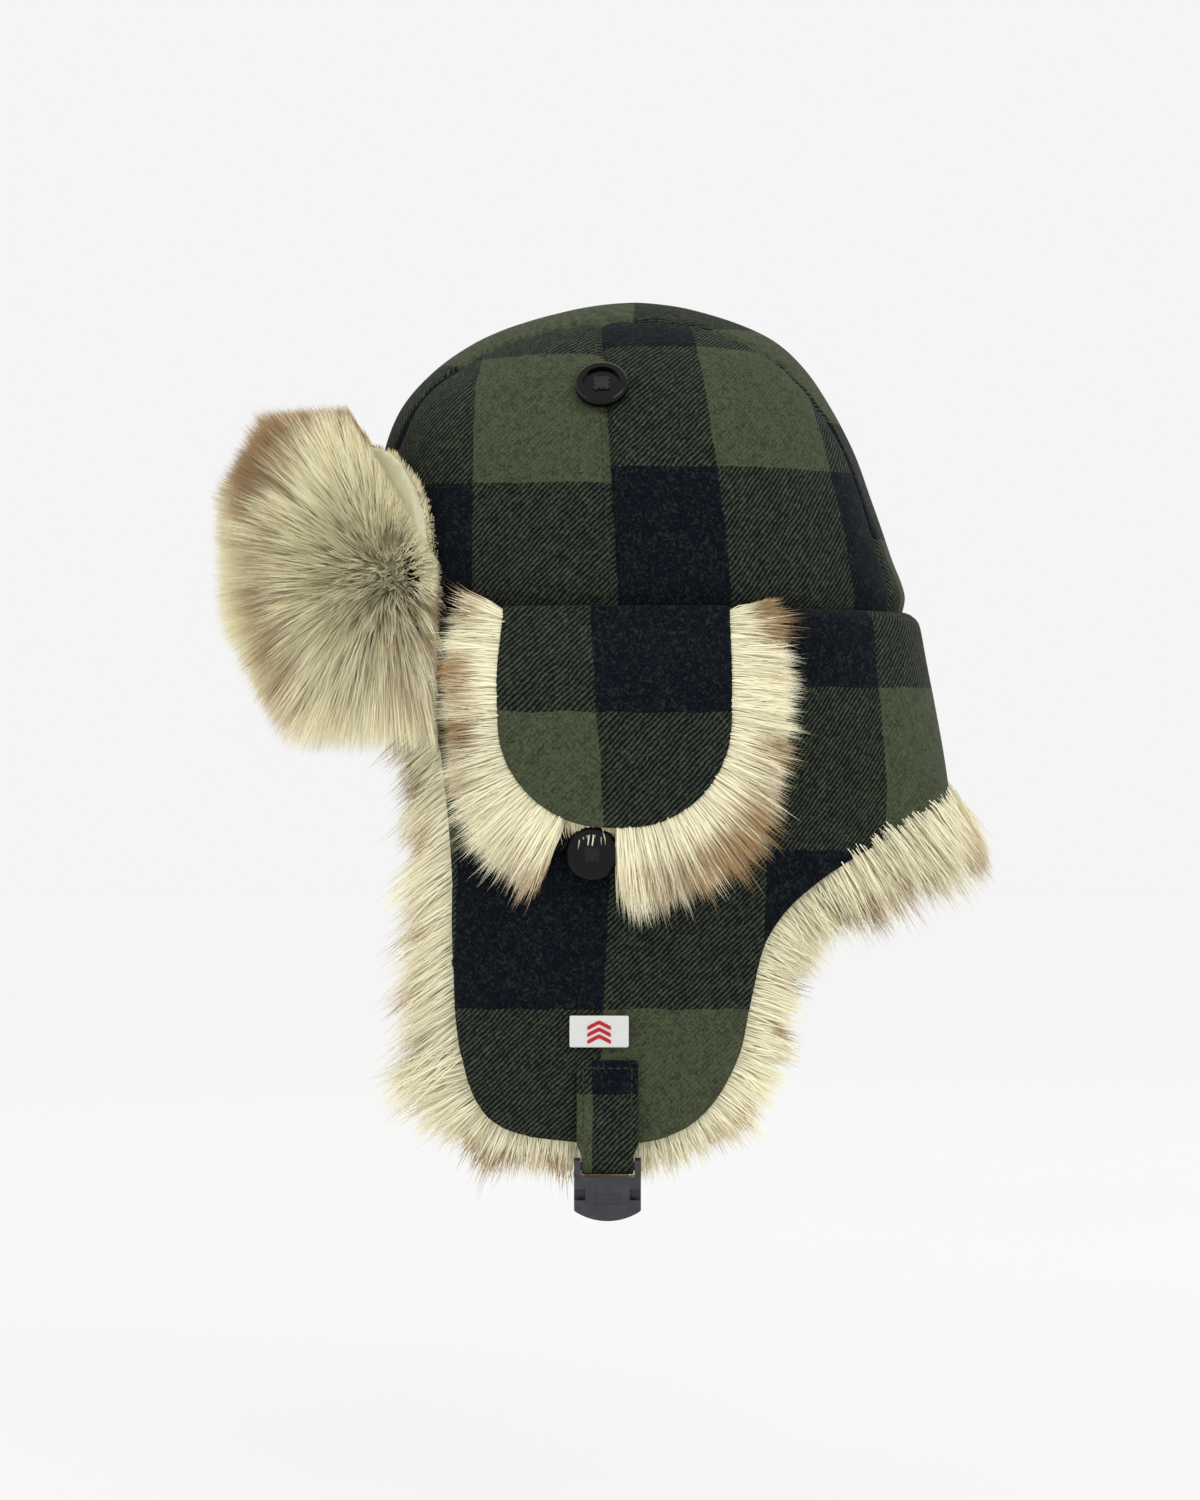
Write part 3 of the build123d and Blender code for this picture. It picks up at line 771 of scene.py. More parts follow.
def edge_walk(outline: np.ndarray, keep: object, count: int,
              dice: np.random.Generator) -> tuple[np.ndarray, np.ndarray]:
    """Random places along the free part of an outline.

    Args:
        outline: the closed outline, one row of two numbers for each point.
        keep: a test on the middles of its stretches that says which are free.
        count: how many places.
        dice: the piece's random source.

    Returns:
        The places and the unit directions that point out of the outline there.
    """
    ahead = np.roll(outline, -1, axis=0)
    stretch = ahead - outline
    span = np.linalg.norm(stretch, axis=1)
    weight = span * keep((outline + ahead) / 2)
    turn = 1.0 if np.sum(outline[:, 0] * ahead[:, 1] - ahead[:, 0] * outline[:, 1]) > 0 else -1.0
    pick = dice.choice(len(outline), count, p=weight / weight.sum())
    at = outline[pick] + stretch[pick] * dice.random(count)[:, None]
    normals = unit(np.column_stack([stretch[:, 1], -stretch[:, 0]]) * turn)
    smooth = unit(sum(np.roll(normals, k, axis=0) for k in range(-3, 4)))
    return at, smooth[pick]


def inside(places: np.ndarray, outline: np.ndarray) -> np.ndarray:
    """Says which places lie inside a closed outline."""
    ahead = np.roll(outline, -1, axis=0)
    x, y = places[:, :1], places[:, 1:]
    crosses = (outline[:, 1] > y) != (ahead[:, 1] > y)
    rise = np.where(ahead[:, 1] == outline[:, 1], 1e-9, ahead[:, 1] - outline[:, 1])
    at = (ahead[:, 0] - outline[:, 0]) * (y - outline[:, 1]) / rise + outline[:, 0]
    return (crosses & (x < at)).sum(axis=1) % 2 == 1


def scatter(outline: np.ndarray, count: int, dice: np.random.Generator) -> np.ndarray:
    """Random places inside a closed outline."""
    found = []
    while sum(len(rows) for rows in found) < count:
        tries = dice.uniform(outline.min(axis=0), outline.max(axis=0), (count, 2))
        found.append(tries[inside(tries, outline)])
    return np.concatenate(found)[:count]


# ---------------------------------------------------------------- finishes
@dataclass
class Graph:
    """A node tree being wired."""

    tree: bpy.types.NodeTree

    def add(self, kind: str, inputs: dict | None = None, **settings: object) -> bpy.types.Node:
        """Adds a node.

        Args:
            kind: the node's type without its ShaderNode prefix, or a whole type name.
            inputs: values or sockets for its inputs, by name or number.
            **settings: the node's own settings.

        Returns:
            The node.
        """
        made = self.tree.nodes.new(kind if kind.startswith("Node") else f"ShaderNode{kind}")
        for key, value in settings.items():
            setattr(made, key, value)
        for key, value in (inputs or {}).items():
            if isinstance(value, bpy.types.NodeSocket):
                self.tree.links.new(value, made.inputs[key])
            else:
                made.inputs[key].default_value = value
        return made

    def math(self, operation: str, first: object, second: object = 0.0,
             clamp: bool = False) -> bpy.types.NodeSocket:
        """The result of a Math node."""
        return self.add("Math", {0: first, 1: second}, operation=operation, use_clamp=clamp).outputs[0]

    def mix(self, share: object, first: object, second: object, kind: str = "MIX") -> bpy.types.NodeSocket:
        """The result of mixing two colours."""
        made = self.add("Mix", {0: share, 6: first, 7: second}, data_type="RGBA", blend_type=kind)
        return made.outputs[2]

    def noise(self, vector: object, scale: float, detail: float = 2.0,
              rough: float = 0.5) -> bpy.types.NodeSocket:
        """The value of a noise texture."""
        made = self.add("TexNoise", {"Vector": vector, "Scale": scale, "Detail": detail, "Roughness": rough})
        return made.outputs["Fac"]

    def band(self, value: object, low: float, high: float) -> bpy.types.NodeSocket:
        """A smooth 0 to 1 as a value goes from low to high."""
        made = self.add("MapRange", {"Value": value, "From Min": low, "From Max": high},
                        interpolation_type="SMOOTHSTEP")
        return made.outputs["Result"]


def rgba(colour: tuple[float, float, float]) -> tuple[float, float, float, float]:
    """A colour with full alpha."""
    return (*colour, 1.0)


def node_group(name: str, inputs: dict[str, str], outputs: dict[str, str]) -> tuple[Graph, bpy.types.Node,
                                                                                    bpy.types.Node]:
    """Starts a shader node group.

    Args:
        name: the group's name.
        inputs: names and socket kinds of its inputs.
        outputs: names and socket kinds of its outputs.

    Returns:
        Its graph, its input node and its output node.
    """
    tree = bpy.data.node_groups.new(name, "ShaderNodeTree")
    for label, kind in inputs.items():
        tree.interface.new_socket(label, in_out="INPUT", socket_type=f"NodeSocket{kind}")
    for label, kind in outputs.items():
        tree.interface.new_socket(label, in_out="OUTPUT", socket_type=f"NodeSocket{kind}")
    graph = Graph(tree)
    return graph, graph.add("NodeGroupInput"), graph.add("NodeGroupOutput")


def fuzz_group() -> bpy.types.NodeTree:
    """The fuzz of wool and other fibres: a light and dark fleck, and its height."""
    graph, given, out = node_group("fibre_fuzz", {"Vector": "Vector"}, {"Fleck": "Float", "Height": "Float"})
    place = given.outputs["Vector"]
    swirl = graph.add("TexNoise", {"Vector": place, "Scale": 420.0, "Detail": 3.0, "Distortion": 1.6})
    fine = graph.noise(place, 1500.0, 2.0, 0.6)
    mixed = graph.math("ADD", graph.math("MULTIPLY", swirl.outputs["Fac"], 0.6),
                       graph.math("MULTIPLY", fine, 0.4))
    graph.tree.links.new(graph.band(mixed, 0.3, 0.7), out.inputs["Fleck"])
    graph.tree.links.new(mixed, out.inputs["Height"])
    return graph.tree


def check_group() -> bpy.types.NodeTree:
    """Twill woven in two colours: which colour lies on top at a place of the check map, and its height."""
    graph, given, out = node_group("check_twill", {"Vector": "Vector", "Ribs": "Float"},
                                   {"Green": "Float", "Height": "Float"})
    place = graph.add("SeparateXYZ", {0: given.outputs["Vector"]})
    masks = []
    for axis in ("X", "Y"):
        half = graph.math("FRACT", graph.math("MULTIPLY", place.outputs[axis], 0.5))
        masks.append(graph.math("LESS_THAN", half, 0.5))
    slant = graph.math("ADD", place.outputs["X"], place.outputs["Y"])
    rib = graph.math("PINGPONG", graph.math("MULTIPLY", slant, given.outputs["Ribs"]), 0.5)
    rib = graph.math("MULTIPLY", rib, 2.0)
    stripe = graph.band(rib, 0.22, 0.78)
    both = graph.math("MULTIPLY", masks[0], masks[1])
    mixed = graph.math("ABSOLUTE", graph.math("SUBTRACT", masks[0], masks[1]))
    green = graph.math("ADD", both, graph.math("MULTIPLY", mixed, graph.math("MULTIPLY", stripe, 0.62)))
    graph.tree.links.new(green, out.inputs["Green"])
    graph.tree.links.new(rib, out.inputs["Height"])
    return graph.tree


@dataclass(frozen=True)
class Surface:
    """The plain numbers on a finish's own shader."""

    roughness: float = 0.6
    specular: float = 0.3
    sheen: float = 0.0
    coat: float = 0.0
    subsurface: float = 0.0


def new_material(name: str, surface: Surface) -> tuple[bpy.types.Material, Graph, bpy.types.Node]:
    """Starts a material.

    Args:
        name: its name.
        surface: the numbers on its shader.

    Returns:
        The material, its graph and its shader.
    """
    material = bpy.data.materials.new(name)
    material.use_nodes = True
    graph = Graph(material.node_tree)
    shader = material.node_tree.nodes["Principled BSDF"]
    shader.inputs["Roughness"].default_value = surface.roughness
    shader.inputs["Specular IOR Level"].default_value = surface.specular
    shader.inputs["Sheen Weight"].default_value = surface.sheen
    shader.inputs["Sheen Roughness"].default_value = 0.6
    shader.inputs["Coat Weight"].default_value = surface.coat
    shader.inputs["Subsurface Weight"].default_value = surface.subsurface
    shader.inputs["Subsurface Radius"].default_value = (0.004, 0.003, 0.002)
    return material, graph, shader


def bump(graph: Graph, shader: bpy.types.Node, height: bpy.types.NodeSocket, depth: float,
         strength: float) -> None:
    """Puts a relief on a shader, depth in millimetres."""
    made = graph.add("Bump", {"Height": height, "Distance": depth * MM, "Strength": strength})
    graph.tree.links.new(made.outputs["Normal"], shader.inputs["Normal"])


@dataclass
class Wardrobe:
    """Every finish of the hat, made once."""

    green: tuple[float, float, float] = (0.056, 0.067, 0.036)
    black: tuple[float, float, float] = (0.0018, 0.0034, 0.0075)
    ribs: float = 60.0 / 2.3
    groups: dict[str, bpy.types.NodeTree] = field(default_factory=dict)
    made: dict[str, bpy.types.Material] = field(default_factory=dict)

    def build(self) -> "Wardrobe":
        """Makes the shared groups and all the finishes."""
        self.groups = {"fuzz": fuzz_group(), "check": check_group()}
        self.made["wool"] = self.wool("plaid_wool_check")
        self.made["fur"] = self.fur()
        self.made["lining"] = self.satin()
        self.made["wadding"] = self.wadding()
        self.made["button"] = self.plastic("button_gloss", (0.0015, 0.0015, 0.0022),
                                           Surface(0.07, 0.16, 0, 0.1), 900.0, 0.02)
        # buckle colour raised from black to dark grey: partly the plastic's own colour, partly painted
        # reflection of its gloss
        self.made["buckle"] = self.plastic("buckle_moulded", (0.020, 0.022, 0.027), Surface(0.22, 0.5),
                                           1400.0, 0.05)
        self.made["thread"] = self.thread("sewing_thread_black", (0.010, 0.011, 0.012), 5200.0)
        self.made["stitch"] = self.thread("sewing_thread_olive", (0.020, 0.024, 0.020), 5200.0)
        self.made["elastic"] = self.thread("elastic_cord_black", (0.012, 0.012, 0.014), 2600.0)
        self.made["label"] = self.thread("label_weave_white", (0.86, 0.86, 0.84), 14000.0)
        self.made["motif"] = self.thread("label_weave_red", (0.60, 0.010, 0.016), 14000.0)
        return self

    def fuzz(self, graph: Graph) -> bpy.types.Node:
        """The shared fuzz read at the piece's own coordinates."""
        place = graph.add("TexCoord").outputs["Object"]
        made = graph.add("Group", {}, node_tree=self.groups["fuzz"])
        graph.tree.links.new(place, made.inputs["Vector"])
        return made

    def wool(self, name: str) -> bpy.types.Material:
        """Melton wool, checked as its map says, with painted shade in the grooves of its twill."""
        material, graph, shader = new_material(name, Surface(0.95, 0.06, 0.03))
        fuzz = self.fuzz(graph)
        wobble = graph.add("TexNoise", {"Vector": graph.add("TexCoord").outputs["Object"], "Scale": 90.0})
        spread = graph.add("VectorMath", {0: wobble.outputs["Color"], 1: (0.5, 0.5, 0.5)},
                           operation="SUBTRACT")
        small = graph.add("VectorMath", {0: spread.outputs[0]}, operation="SCALE")
        small.inputs["Scale"].default_value = 0.035
        uv = graph.add("UVMap", uv_map="checks")
        place = graph.add("VectorMath", {0: uv.outputs[0], 1: small.outputs[0]}, operation="ADD")
        check = graph.add("Group", {}, node_tree=self.groups["check"])
        graph.tree.links.new(place.outputs[0], check.inputs["Vector"])
        check.inputs["Ribs"].default_value = self.ribs
        green, rib = check.outputs["Green"], check.outputs["Height"]
        fleck = fuzz.outputs["Fleck"]
        blurred = graph.math("ADD", green, graph.math("MULTIPLY", graph.math("SUBTRACT", fleck, 0.5),
                                                      0.50), True)
        colour = graph.mix(blurred, rgba(self.black), rgba(self.green))
        shade = graph.math("ADD", 0.62, graph.math("MULTIPLY", fleck, 0.72))
        # painted shade: lighter on the twill's ribs and darker in their grooves, by the same rib height as the
        # bump
        relief = graph.math("ADD", 0.86, graph.math("MULTIPLY", rib, 0.26))
        both = graph.math("MULTIPLY", shade, relief)
        # the fleck's own tone times the painted rib shade, multiplied into the check colour
        grey = graph.add("CombineColor", {0: both, 1: both, 2: both})
        colour = graph.mix(1.0, colour, grey.outputs[0], "MULTIPLY")
        graph.tree.links.new(colour, shader.inputs["Base Color"])
        height = graph.math("ADD", graph.math("MULTIPLY", rib, 0.55), fuzz.outputs["Height"])
        bump(graph, shader, height, 0.5, 0.55)
        return material

    def fur(self) -> bpy.types.Material:
        """Faux fur: pale yellow hair, darker at the root, with brown tips where the map asks for them."""
        material, graph, shader = new_material("faux_fur_pile", Surface(0.6, 0.3, 0.35))
        uv = graph.add("SeparateXYZ", {0: graph.add("UVMap", uv_map="OFBake").outputs[0]})
        steps = graph.math("MULTIPLY", uv.outputs["X"], float(TINTS))
        light = graph.math("DIVIDE", graph.math("FLOOR", steps), TINTS - 1.0)
        brown = graph.math("FRACT", steps)
        along = uv.outputs["Y"]
        cream = graph.mix(light, rgba((0.70, 0.65, 0.43)), rgba((1.0, 0.95, 0.69)))
        root = graph.mix(light, rgba((0.50, 0.47, 0.31)), rgba((0.86, 0.80, 0.55)))
        colour = graph.mix(graph.band(along, 0.0, 0.5), root, cream)
        tip = graph.mix(light, rgba((0.16, 0.100, 0.040)), rgba((0.46, 0.29, 0.12)))
        share = graph.math("MULTIPLY", graph.band(along, 0.42, 0.78), graph.band(brown, 0.15, 0.85))
        colour = graph.mix(share, colour, tip)
        graph.tree.links.new(colour, shader.inputs["Base Color"])
        return material

    def satin(self) -> bpy.types.Material:
        """Olive-grey lining satin with fine threads."""
        material, graph, shader = new_material("satin_lining_olive", Surface(0.42, 0.4, 0.15))
        place = graph.add("TexCoord").outputs["Object"]
        wide = graph.noise(place, 60.0, 2.0)
        thread = graph.add("TexWave", {"Vector": place, "Scale": 700.0, "Distortion": 1.5},
                           bands_direction="Z")
        colour = graph.mix(wide, rgba((0.050, 0.055, 0.040)), rgba((0.085, 0.090, 0.066)))
        graph.tree.links.new(colour, shader.inputs["Base Color"])
        bump(graph, shader, graph.math("ADD", wide, graph.math("MULTIPLY", thread.outputs["Fac"], 0.3)),
             0.4, 0.3)
        return material

    def wadding(self) -> bpy.types.Material:
        """Needled polyester wadding, nearly white."""
        material, graph, shader = new_material("wadding_white", Surface(0.9, 0.1, 0.2))
        fuzz = self.fuzz(graph)
        colour = graph.mix(fuzz.outputs["Fleck"], rgba((0.62, 0.62, 0.60)), rgba((0.80, 0.80, 0.78)))
        graph.tree.links.new(colour, shader.inputs["Base Color"])
        bump(graph, shader, fuzz.outputs["Height"], 1.0, 0.5)
        return material

    def plastic(self, name: str, colour: tuple[float, float, float], surface: Surface, scale: float,
                depth: float) -> bpy.types.Material:
        """A moulded plastic with a faint grain and handling marks."""
        material, graph, shader = new_material(name, surface)
        place = graph.add("TexCoord").outputs["Object"]
        wear = graph.noise(place, 140.0, 4.0, 0.6)
        pale = tuple(c * 1.8 + 0.001 for c in colour)
        graph.tree.links.new(graph.mix(graph.band(wear, 0.45, 0.8), rgba(colour), rgba(pale)),
                             shader.inputs["Base Color"])
        rough = graph.math("ADD", surface.roughness, graph.math("MULTIPLY", graph.band(wear, 0.4, 0.8), 0.12))
        graph.tree.links.new(rough, shader.inputs["Roughness"])
        bump(graph, shader, graph.noise(place, scale, 3.0), depth, 0.25)
        return material

    def thread(self, name: str, colour: tuple[float, float, float], scale: float) -> bpy.types.Material:
        """Twisted or woven thread in one colour, with painted shade in the grooves of its twist."""
        material, graph, shader = new_material(name, Surface(0.75, 0.2, 0.15))
        place = graph.add("TexCoord").outputs["Object"]
        weave = graph.add("TexWave", {"Vector": place, "Scale": scale / 12, "Distortion": 0.6},
                          bands_direction="DIAGONAL")
        # painted shade: the thread's colour darkened in the grooves of its twist, along the same waves as the
        # bump
        dark = tuple(c * 0.62 for c in colour)
        shade = graph.mix(weave.outputs["Fac"], rgba(dark), rgba(colour))
        graph.tree.links.new(shade, shader.inputs["Base Color"])
        bump(graph, shader, weave.outputs["Fac"], 0.15, 0.4)
        return material


# ---------------------------------------------------------------- the crown
SIDE_SEAM_Y = -12.0
SEAM_LEAN = 0.06
TOP = 123.5
STRIP_HALF = 27.0
STRIP_SPREAD = 0.10


@dataclass
class Crown:
    """The five-panel crown, its lining and the brow band.

    Attributes:
        wardrobe: the finishes.
        around: faces around half of the block.
        upward: faces from the seam to the top.
        groove: how deep the seams pull in.
        allowance: how far each panel runs on past its seam.
        lining_inset: how far inside the wool's face the lining hangs.
    """

    wardrobe: Wardrobe
    around: int = 76
    upward: int = 46
    groove: float = 1.5
    allowance: float = 0.8
    lining_inset: float = 8.0

    def strip_distance(self, places: np.ndarray) -> np.ndarray:
        """How far outside the centre strip's seam places in millimetres lie."""
        return np.abs(places[:, 0]) - (STRIP_HALF + STRIP_SPREAD * (TOP - places[:, 2]))

    def seam_distance(self, places: np.ndarray) -> np.ndarray:
        """How far behind the side seam places in millimetres lie."""
        return places[:, 1] - (SIDE_SEAM_Y - SEAM_LEAN * places[:, 2])

    def dome(self, name: str) -> bpy.types.Object:
        """The left half of the block as an open sheet."""
        piece = primitive("grid", name, x_subdivisions=self.around, y_subdivisions=self.upward, size=2)
        flat = vertices(piece)
        angle = flat[:, 0] * math.pi / 2
        run = (flat[:, 1] + 1) / 2 * CROWN_FORM.runs[-1]
        move_vertices(piece, CROWN_FORM.points(angle, run, 0.0) * MM)
        return piece

    def cut(self, piece: bpy.types.Object, place: tuple[float, float, float],
            normal: tuple[float, float, float],
            drop: bool) -> None:
        """Bisects the sheet with a plane, in millimetres, and drops what lies in front of it if asked."""
        activate(piece)
        bpy.ops.object.mode_set(mode="EDIT")
        bpy.ops.mesh.select_all(action="SELECT")
        bpy.ops.mesh.bisect(plane_co=tuple(c * MM for c in place), plane_no=normal, clear_outer=drop)
        bpy.ops.object.mode_set(mode="OBJECT")

    def panel(self, name: str, centre: bool, rear: bool) -> bpy.types.Object:
        """Cuts one panel from the left half of the block.

        Args:
            name: the piece's name.
            centre: True for the half of the strip over the top.
            rear: True for the side panel behind the side seam.

        Returns:
            The open panel with lines of points beside its seams.
        """
        piece = self.dome(name)
        lean = STRIP_SPREAD
        outwards = (1.0, 0.0, lean) if centre else (-1.0, 0.0, -lean)
        for beside in (-self.allowance, 0.0, 0.9, 2.0, 4.0):
            x = STRIP_HALF - beside if centre else STRIP_HALF + beside
            self.cut(piece, (x, 0, TOP), outwards, beside < 0)
        if not centre:
            turn = 1.0 if rear else -1.0
            for beside in (-self.allowance, 0.0, 0.9, 2.0, 4.0):
                place = (0, SIDE_SEAM_Y + turn * beside, 0)
                self.cut(piece, place, (0, -turn, -turn * SEAM_LEAN), beside < 0)
        return piece

    def shape_seams(self, places: np.ndarray, centre: bool) -> np.ndarray:
        """Pulls the wool in along its seams, with a little puckering beside them."""
        away = unit(places - np.array([0.0, -6.0, 10.0]))
        strip = np.abs(self.strip_distance(places))
        side = np.full(len(places), 99.0) if centre else np.abs(self.seam_distance(places))
        brow = np.maximum(places[:, 2], 0.0)
        depth = self.groove * (np.exp(-(strip / 1.3) ** 2) + np.exp(-(side / 1.3) ** 2)
                               + 0.8 * np.exp(-(brow / 1.6) ** 2))
        pucker = 0.5 * np.sin(places[:, 1] * 0.42 + 2.0 * np.sin(places[:, 2] * 0.11)) * np.exp(-strip / 8.0)
        pucker += 0.4 * np.sin(places[:, 2] * 0.36) * np.exp(-side / 7.0)
        soft = (patches(places, 55.0, 3) - 0.5) * 1.6
        swell = 0.7 * (1 - np.exp(-np.minimum(strip, side) / 10.0))
        return places - away * (depth - pucker - soft - swell)[:, None]

    def map_checks(self, piece: bpy.types.Object, centre: bool, rear: bool) -> None:
        """Counts the plaid's checks on a panel, which is cut on the straight of the cloth."""
        places = vertices(piece) / MM
        run = CROWN_FORM.run_at(places[:, 2])
        middle = smooth_columns(run, CROWN_FORM.runs, CROWN_FORM.table)[:, 1]
        if centre:
            back = np.where(places[:, 1] > -5.0, 1.0, -1.0)
            plaid = Plaid((-29.0, 29.0), (-71.0, -13.0, 45.0, 100.0, 148.0), 0.0, 58.0)
            across = plaid.across(places[:, 0], run * 0)
            down = plaid.down(back * (CROWN_FORM.runs[-1] - run))
        else:
            angle = np.arctan2(places[:, 1] - middle, places[:, 0])
            y = middle + CROWN_FORM.arc_at(angle, run)
            drop = SKIRT - run
            plaid = Plaid((27.0, 80.0), (-111.0, -53.0), -0.12) if rear else Plaid((-70.4,), (-106.0, -47.0))
            across = plaid.across(y, drop + 47.0)
            down = plaid.down(drop)
        corners = np.empty(len(piece.data.loops), int)
        piece.data.loops.foreach_get("vertex_index", corners)
        for layer in list(piece.data.uv_layers):
            piece.data.uv_layers.remove(layer)
        layer = piece.data.uv_layers.new(name="checks")
        layer.data.foreach_set("uv", np.column_stack([across, down])[corners].astype(np.float32).ravel())

    def finish_panel(self, piece: bpy.types.Object, thickness: float) -> None:
        """Cleans an open sheet, faces it outwards and gives it its thickness."""
        activate(piece)
        bpy.ops.object.mode_set(mode="EDIT")
        bpy.ops.mesh.select_all(action="SELECT")
        bpy.ops.mesh.remove_doubles(threshold=0.00012)
        bpy.ops.mesh.dissolve_degenerate(threshold=0.00005)
        bpy.ops.mesh.normals_make_consistent(inside=False)
        bpy.ops.object.mode_set(mode="OBJECT")
        total = sum(face.normal.dot(face.center - Vector((0, 0, 0.02))) for face in piece.data.polygons)
        if total < 0:
            bpy.ops.object.mode_set(mode="EDIT")
            bpy.ops.mesh.flip_normals()
            bpy.ops.object.mode_set(mode="OBJECT")
        apply_modifier(piece, "SOLIDIFY", thickness=thickness * MM, offset=-1.0)
        apply_modifier(piece, "SUBSURF", levels=1)
        activate(piece)
        bpy.ops.object.shade_smooth()

    def build(self) -> None:
        """Makes the panels, the lining and the brow band."""
        wool = self.wardrobe.made["wool"]
        for side in Side:
            for rear in (False, True):
                word = "rear" if rear else "front"
                name = f"wool_{side.word}_{word}_panel"
                piece = self.panel(name, False, rear)
                self.map_checks(piece, False, rear)
                places = self.shape_seams(vertices(piece) / MM, False)
                places[:, 0] *= side.value
                move_vertices(piece, places * MM)
                self.finish_panel(piece, 1.9)
                finish_piece(piece, Slot.WOOL, wool, "crown", f"crown_{side.word}_{word}_panel")
        strip = self.panel("wool_centre_panel", True, False)
        apply_modifier(strip, "MIRROR", use_axis=(True, False, False), merge_threshold=0.0002)
        self.map_checks(strip, True, False)
        move_vertices(strip, self.shape_seams(vertices(strip) / MM, True) * MM)
        self.finish_panel(strip, 1.9)
        finish_piece(strip, Slot.WOOL, wool, "crown", "crown_centre_panel")
        self.inner_dome("wadding_crown", 3.4, 3.6, Slot.WADDING, "wadding", "crown_wadding")
        self.inner_dome("satin_crown_lining", self.lining_inset, 0.7, Slot.LINING, "lining", "crown_lining")
        self.brow()

    def inner_dome(self, name: str, inset: float, thickness: float, slot: Slot, finish: str,
                   node: str) -> None:
        """The wadding or the lining, gathered a little where it meets the brow.

        Args:
            name: the piece's name.
            inset: how far it hangs inside the wool's face.
            thickness: its thickness.
            slot: the record's slot.
            finish: its finish in the wardrobe.
            node: the CAD node that it stands for.
        """
        piece = self.dome(name)
        apply_modifier(piece, "MIRROR", use_axis=(True, False, False), merge_threshold=0.0002)
        places = vertices(piece) / MM
        away = unit(places - np.array([0.0, -6.0, 10.0]))
        gather = 0.9 * np.sin(np.arctan2(places[:, 1], places[:, 0]) * 34) * np.exp(-places[:, 2] / 28.0)
        soft = (patches(places, 30.0, 8) - 0.5) * 1.6
        share = inset / self.lining_inset
        places -= away * (inset + (gather + soft) * share)[:, None]
        places[:, 2] = np.maximum(places[:, 2], 0.4)
        move_vertices(piece, places * MM)
        self.finish_panel(piece, thickness)
        finish_piece(piece, slot, self.wardrobe.made[finish], "crown", node)

    def brow(self) -> None:
        """The wool band across the forehead, and the lining behind it."""
        for name, node, proud, thick, slot, finish, low in (
                ("wool_brow_band", "brow_band", -0.3, 1.8, Slot.WOOL, "wool", 24.0),
                ("satin_brow_lining", "brow_lining", -2.6, 0.9, Slot.LINING, "lining", 23.0)):
            ends, run = CURTAIN_FORM.place_of(np.array([-87.0, -87.0]), np.array([-0.6, -low]))
            middle = CURTAIN_FORM.arc_at(np.array([-math.pi / 2] * 2), run)
            corners = [(middle[0], run[0]), (ends[0], run[0]), (ends[1], run[1]), (middle[1], run[1])]
            outline = rounded_outline(corners, 4.0, (0, 1, 2, 3))
            cloth = Cloth(name, CURTAIN_FORM, Side.LEFT, outline, Plaid((-70.0,), (33.0,)), proud, 4.0, thick)
            piece = cloth.flat_piece()
            apply_modifier(piece, "MIRROR", use_axis=(True, False, False), merge_threshold=0.0006)
            cloth.thicken(piece)
            finish_piece(piece, slot, self.wardrobe.made[finish], "crown", node)


# ---------------------------------------------------------------- curtain and ear flaps
FOLD_Z = -130.0
FOLD_BAND = 9.0
FRONT_EDGE = ((-77.0, -130.0), (-77.0, -105.0), (-81.0, -60.0), (-86.0, -0.8))
SIDE_WOOL = ((118.0, -79.0), (89.0, -94.0), (61.0, -112.0), (46.0, -130.0), (40.0, -152.0), (34.0, -178.0),
             (20.0, -200.0), (0.0, -209.6), (-30.0, -209.6), (-62.0, -201.0), (-74.5, -172.0))
NECK_BACK_Z = -76.0
PORT = (-16.0, -46.0, 40.0, 52.0, 18.0)


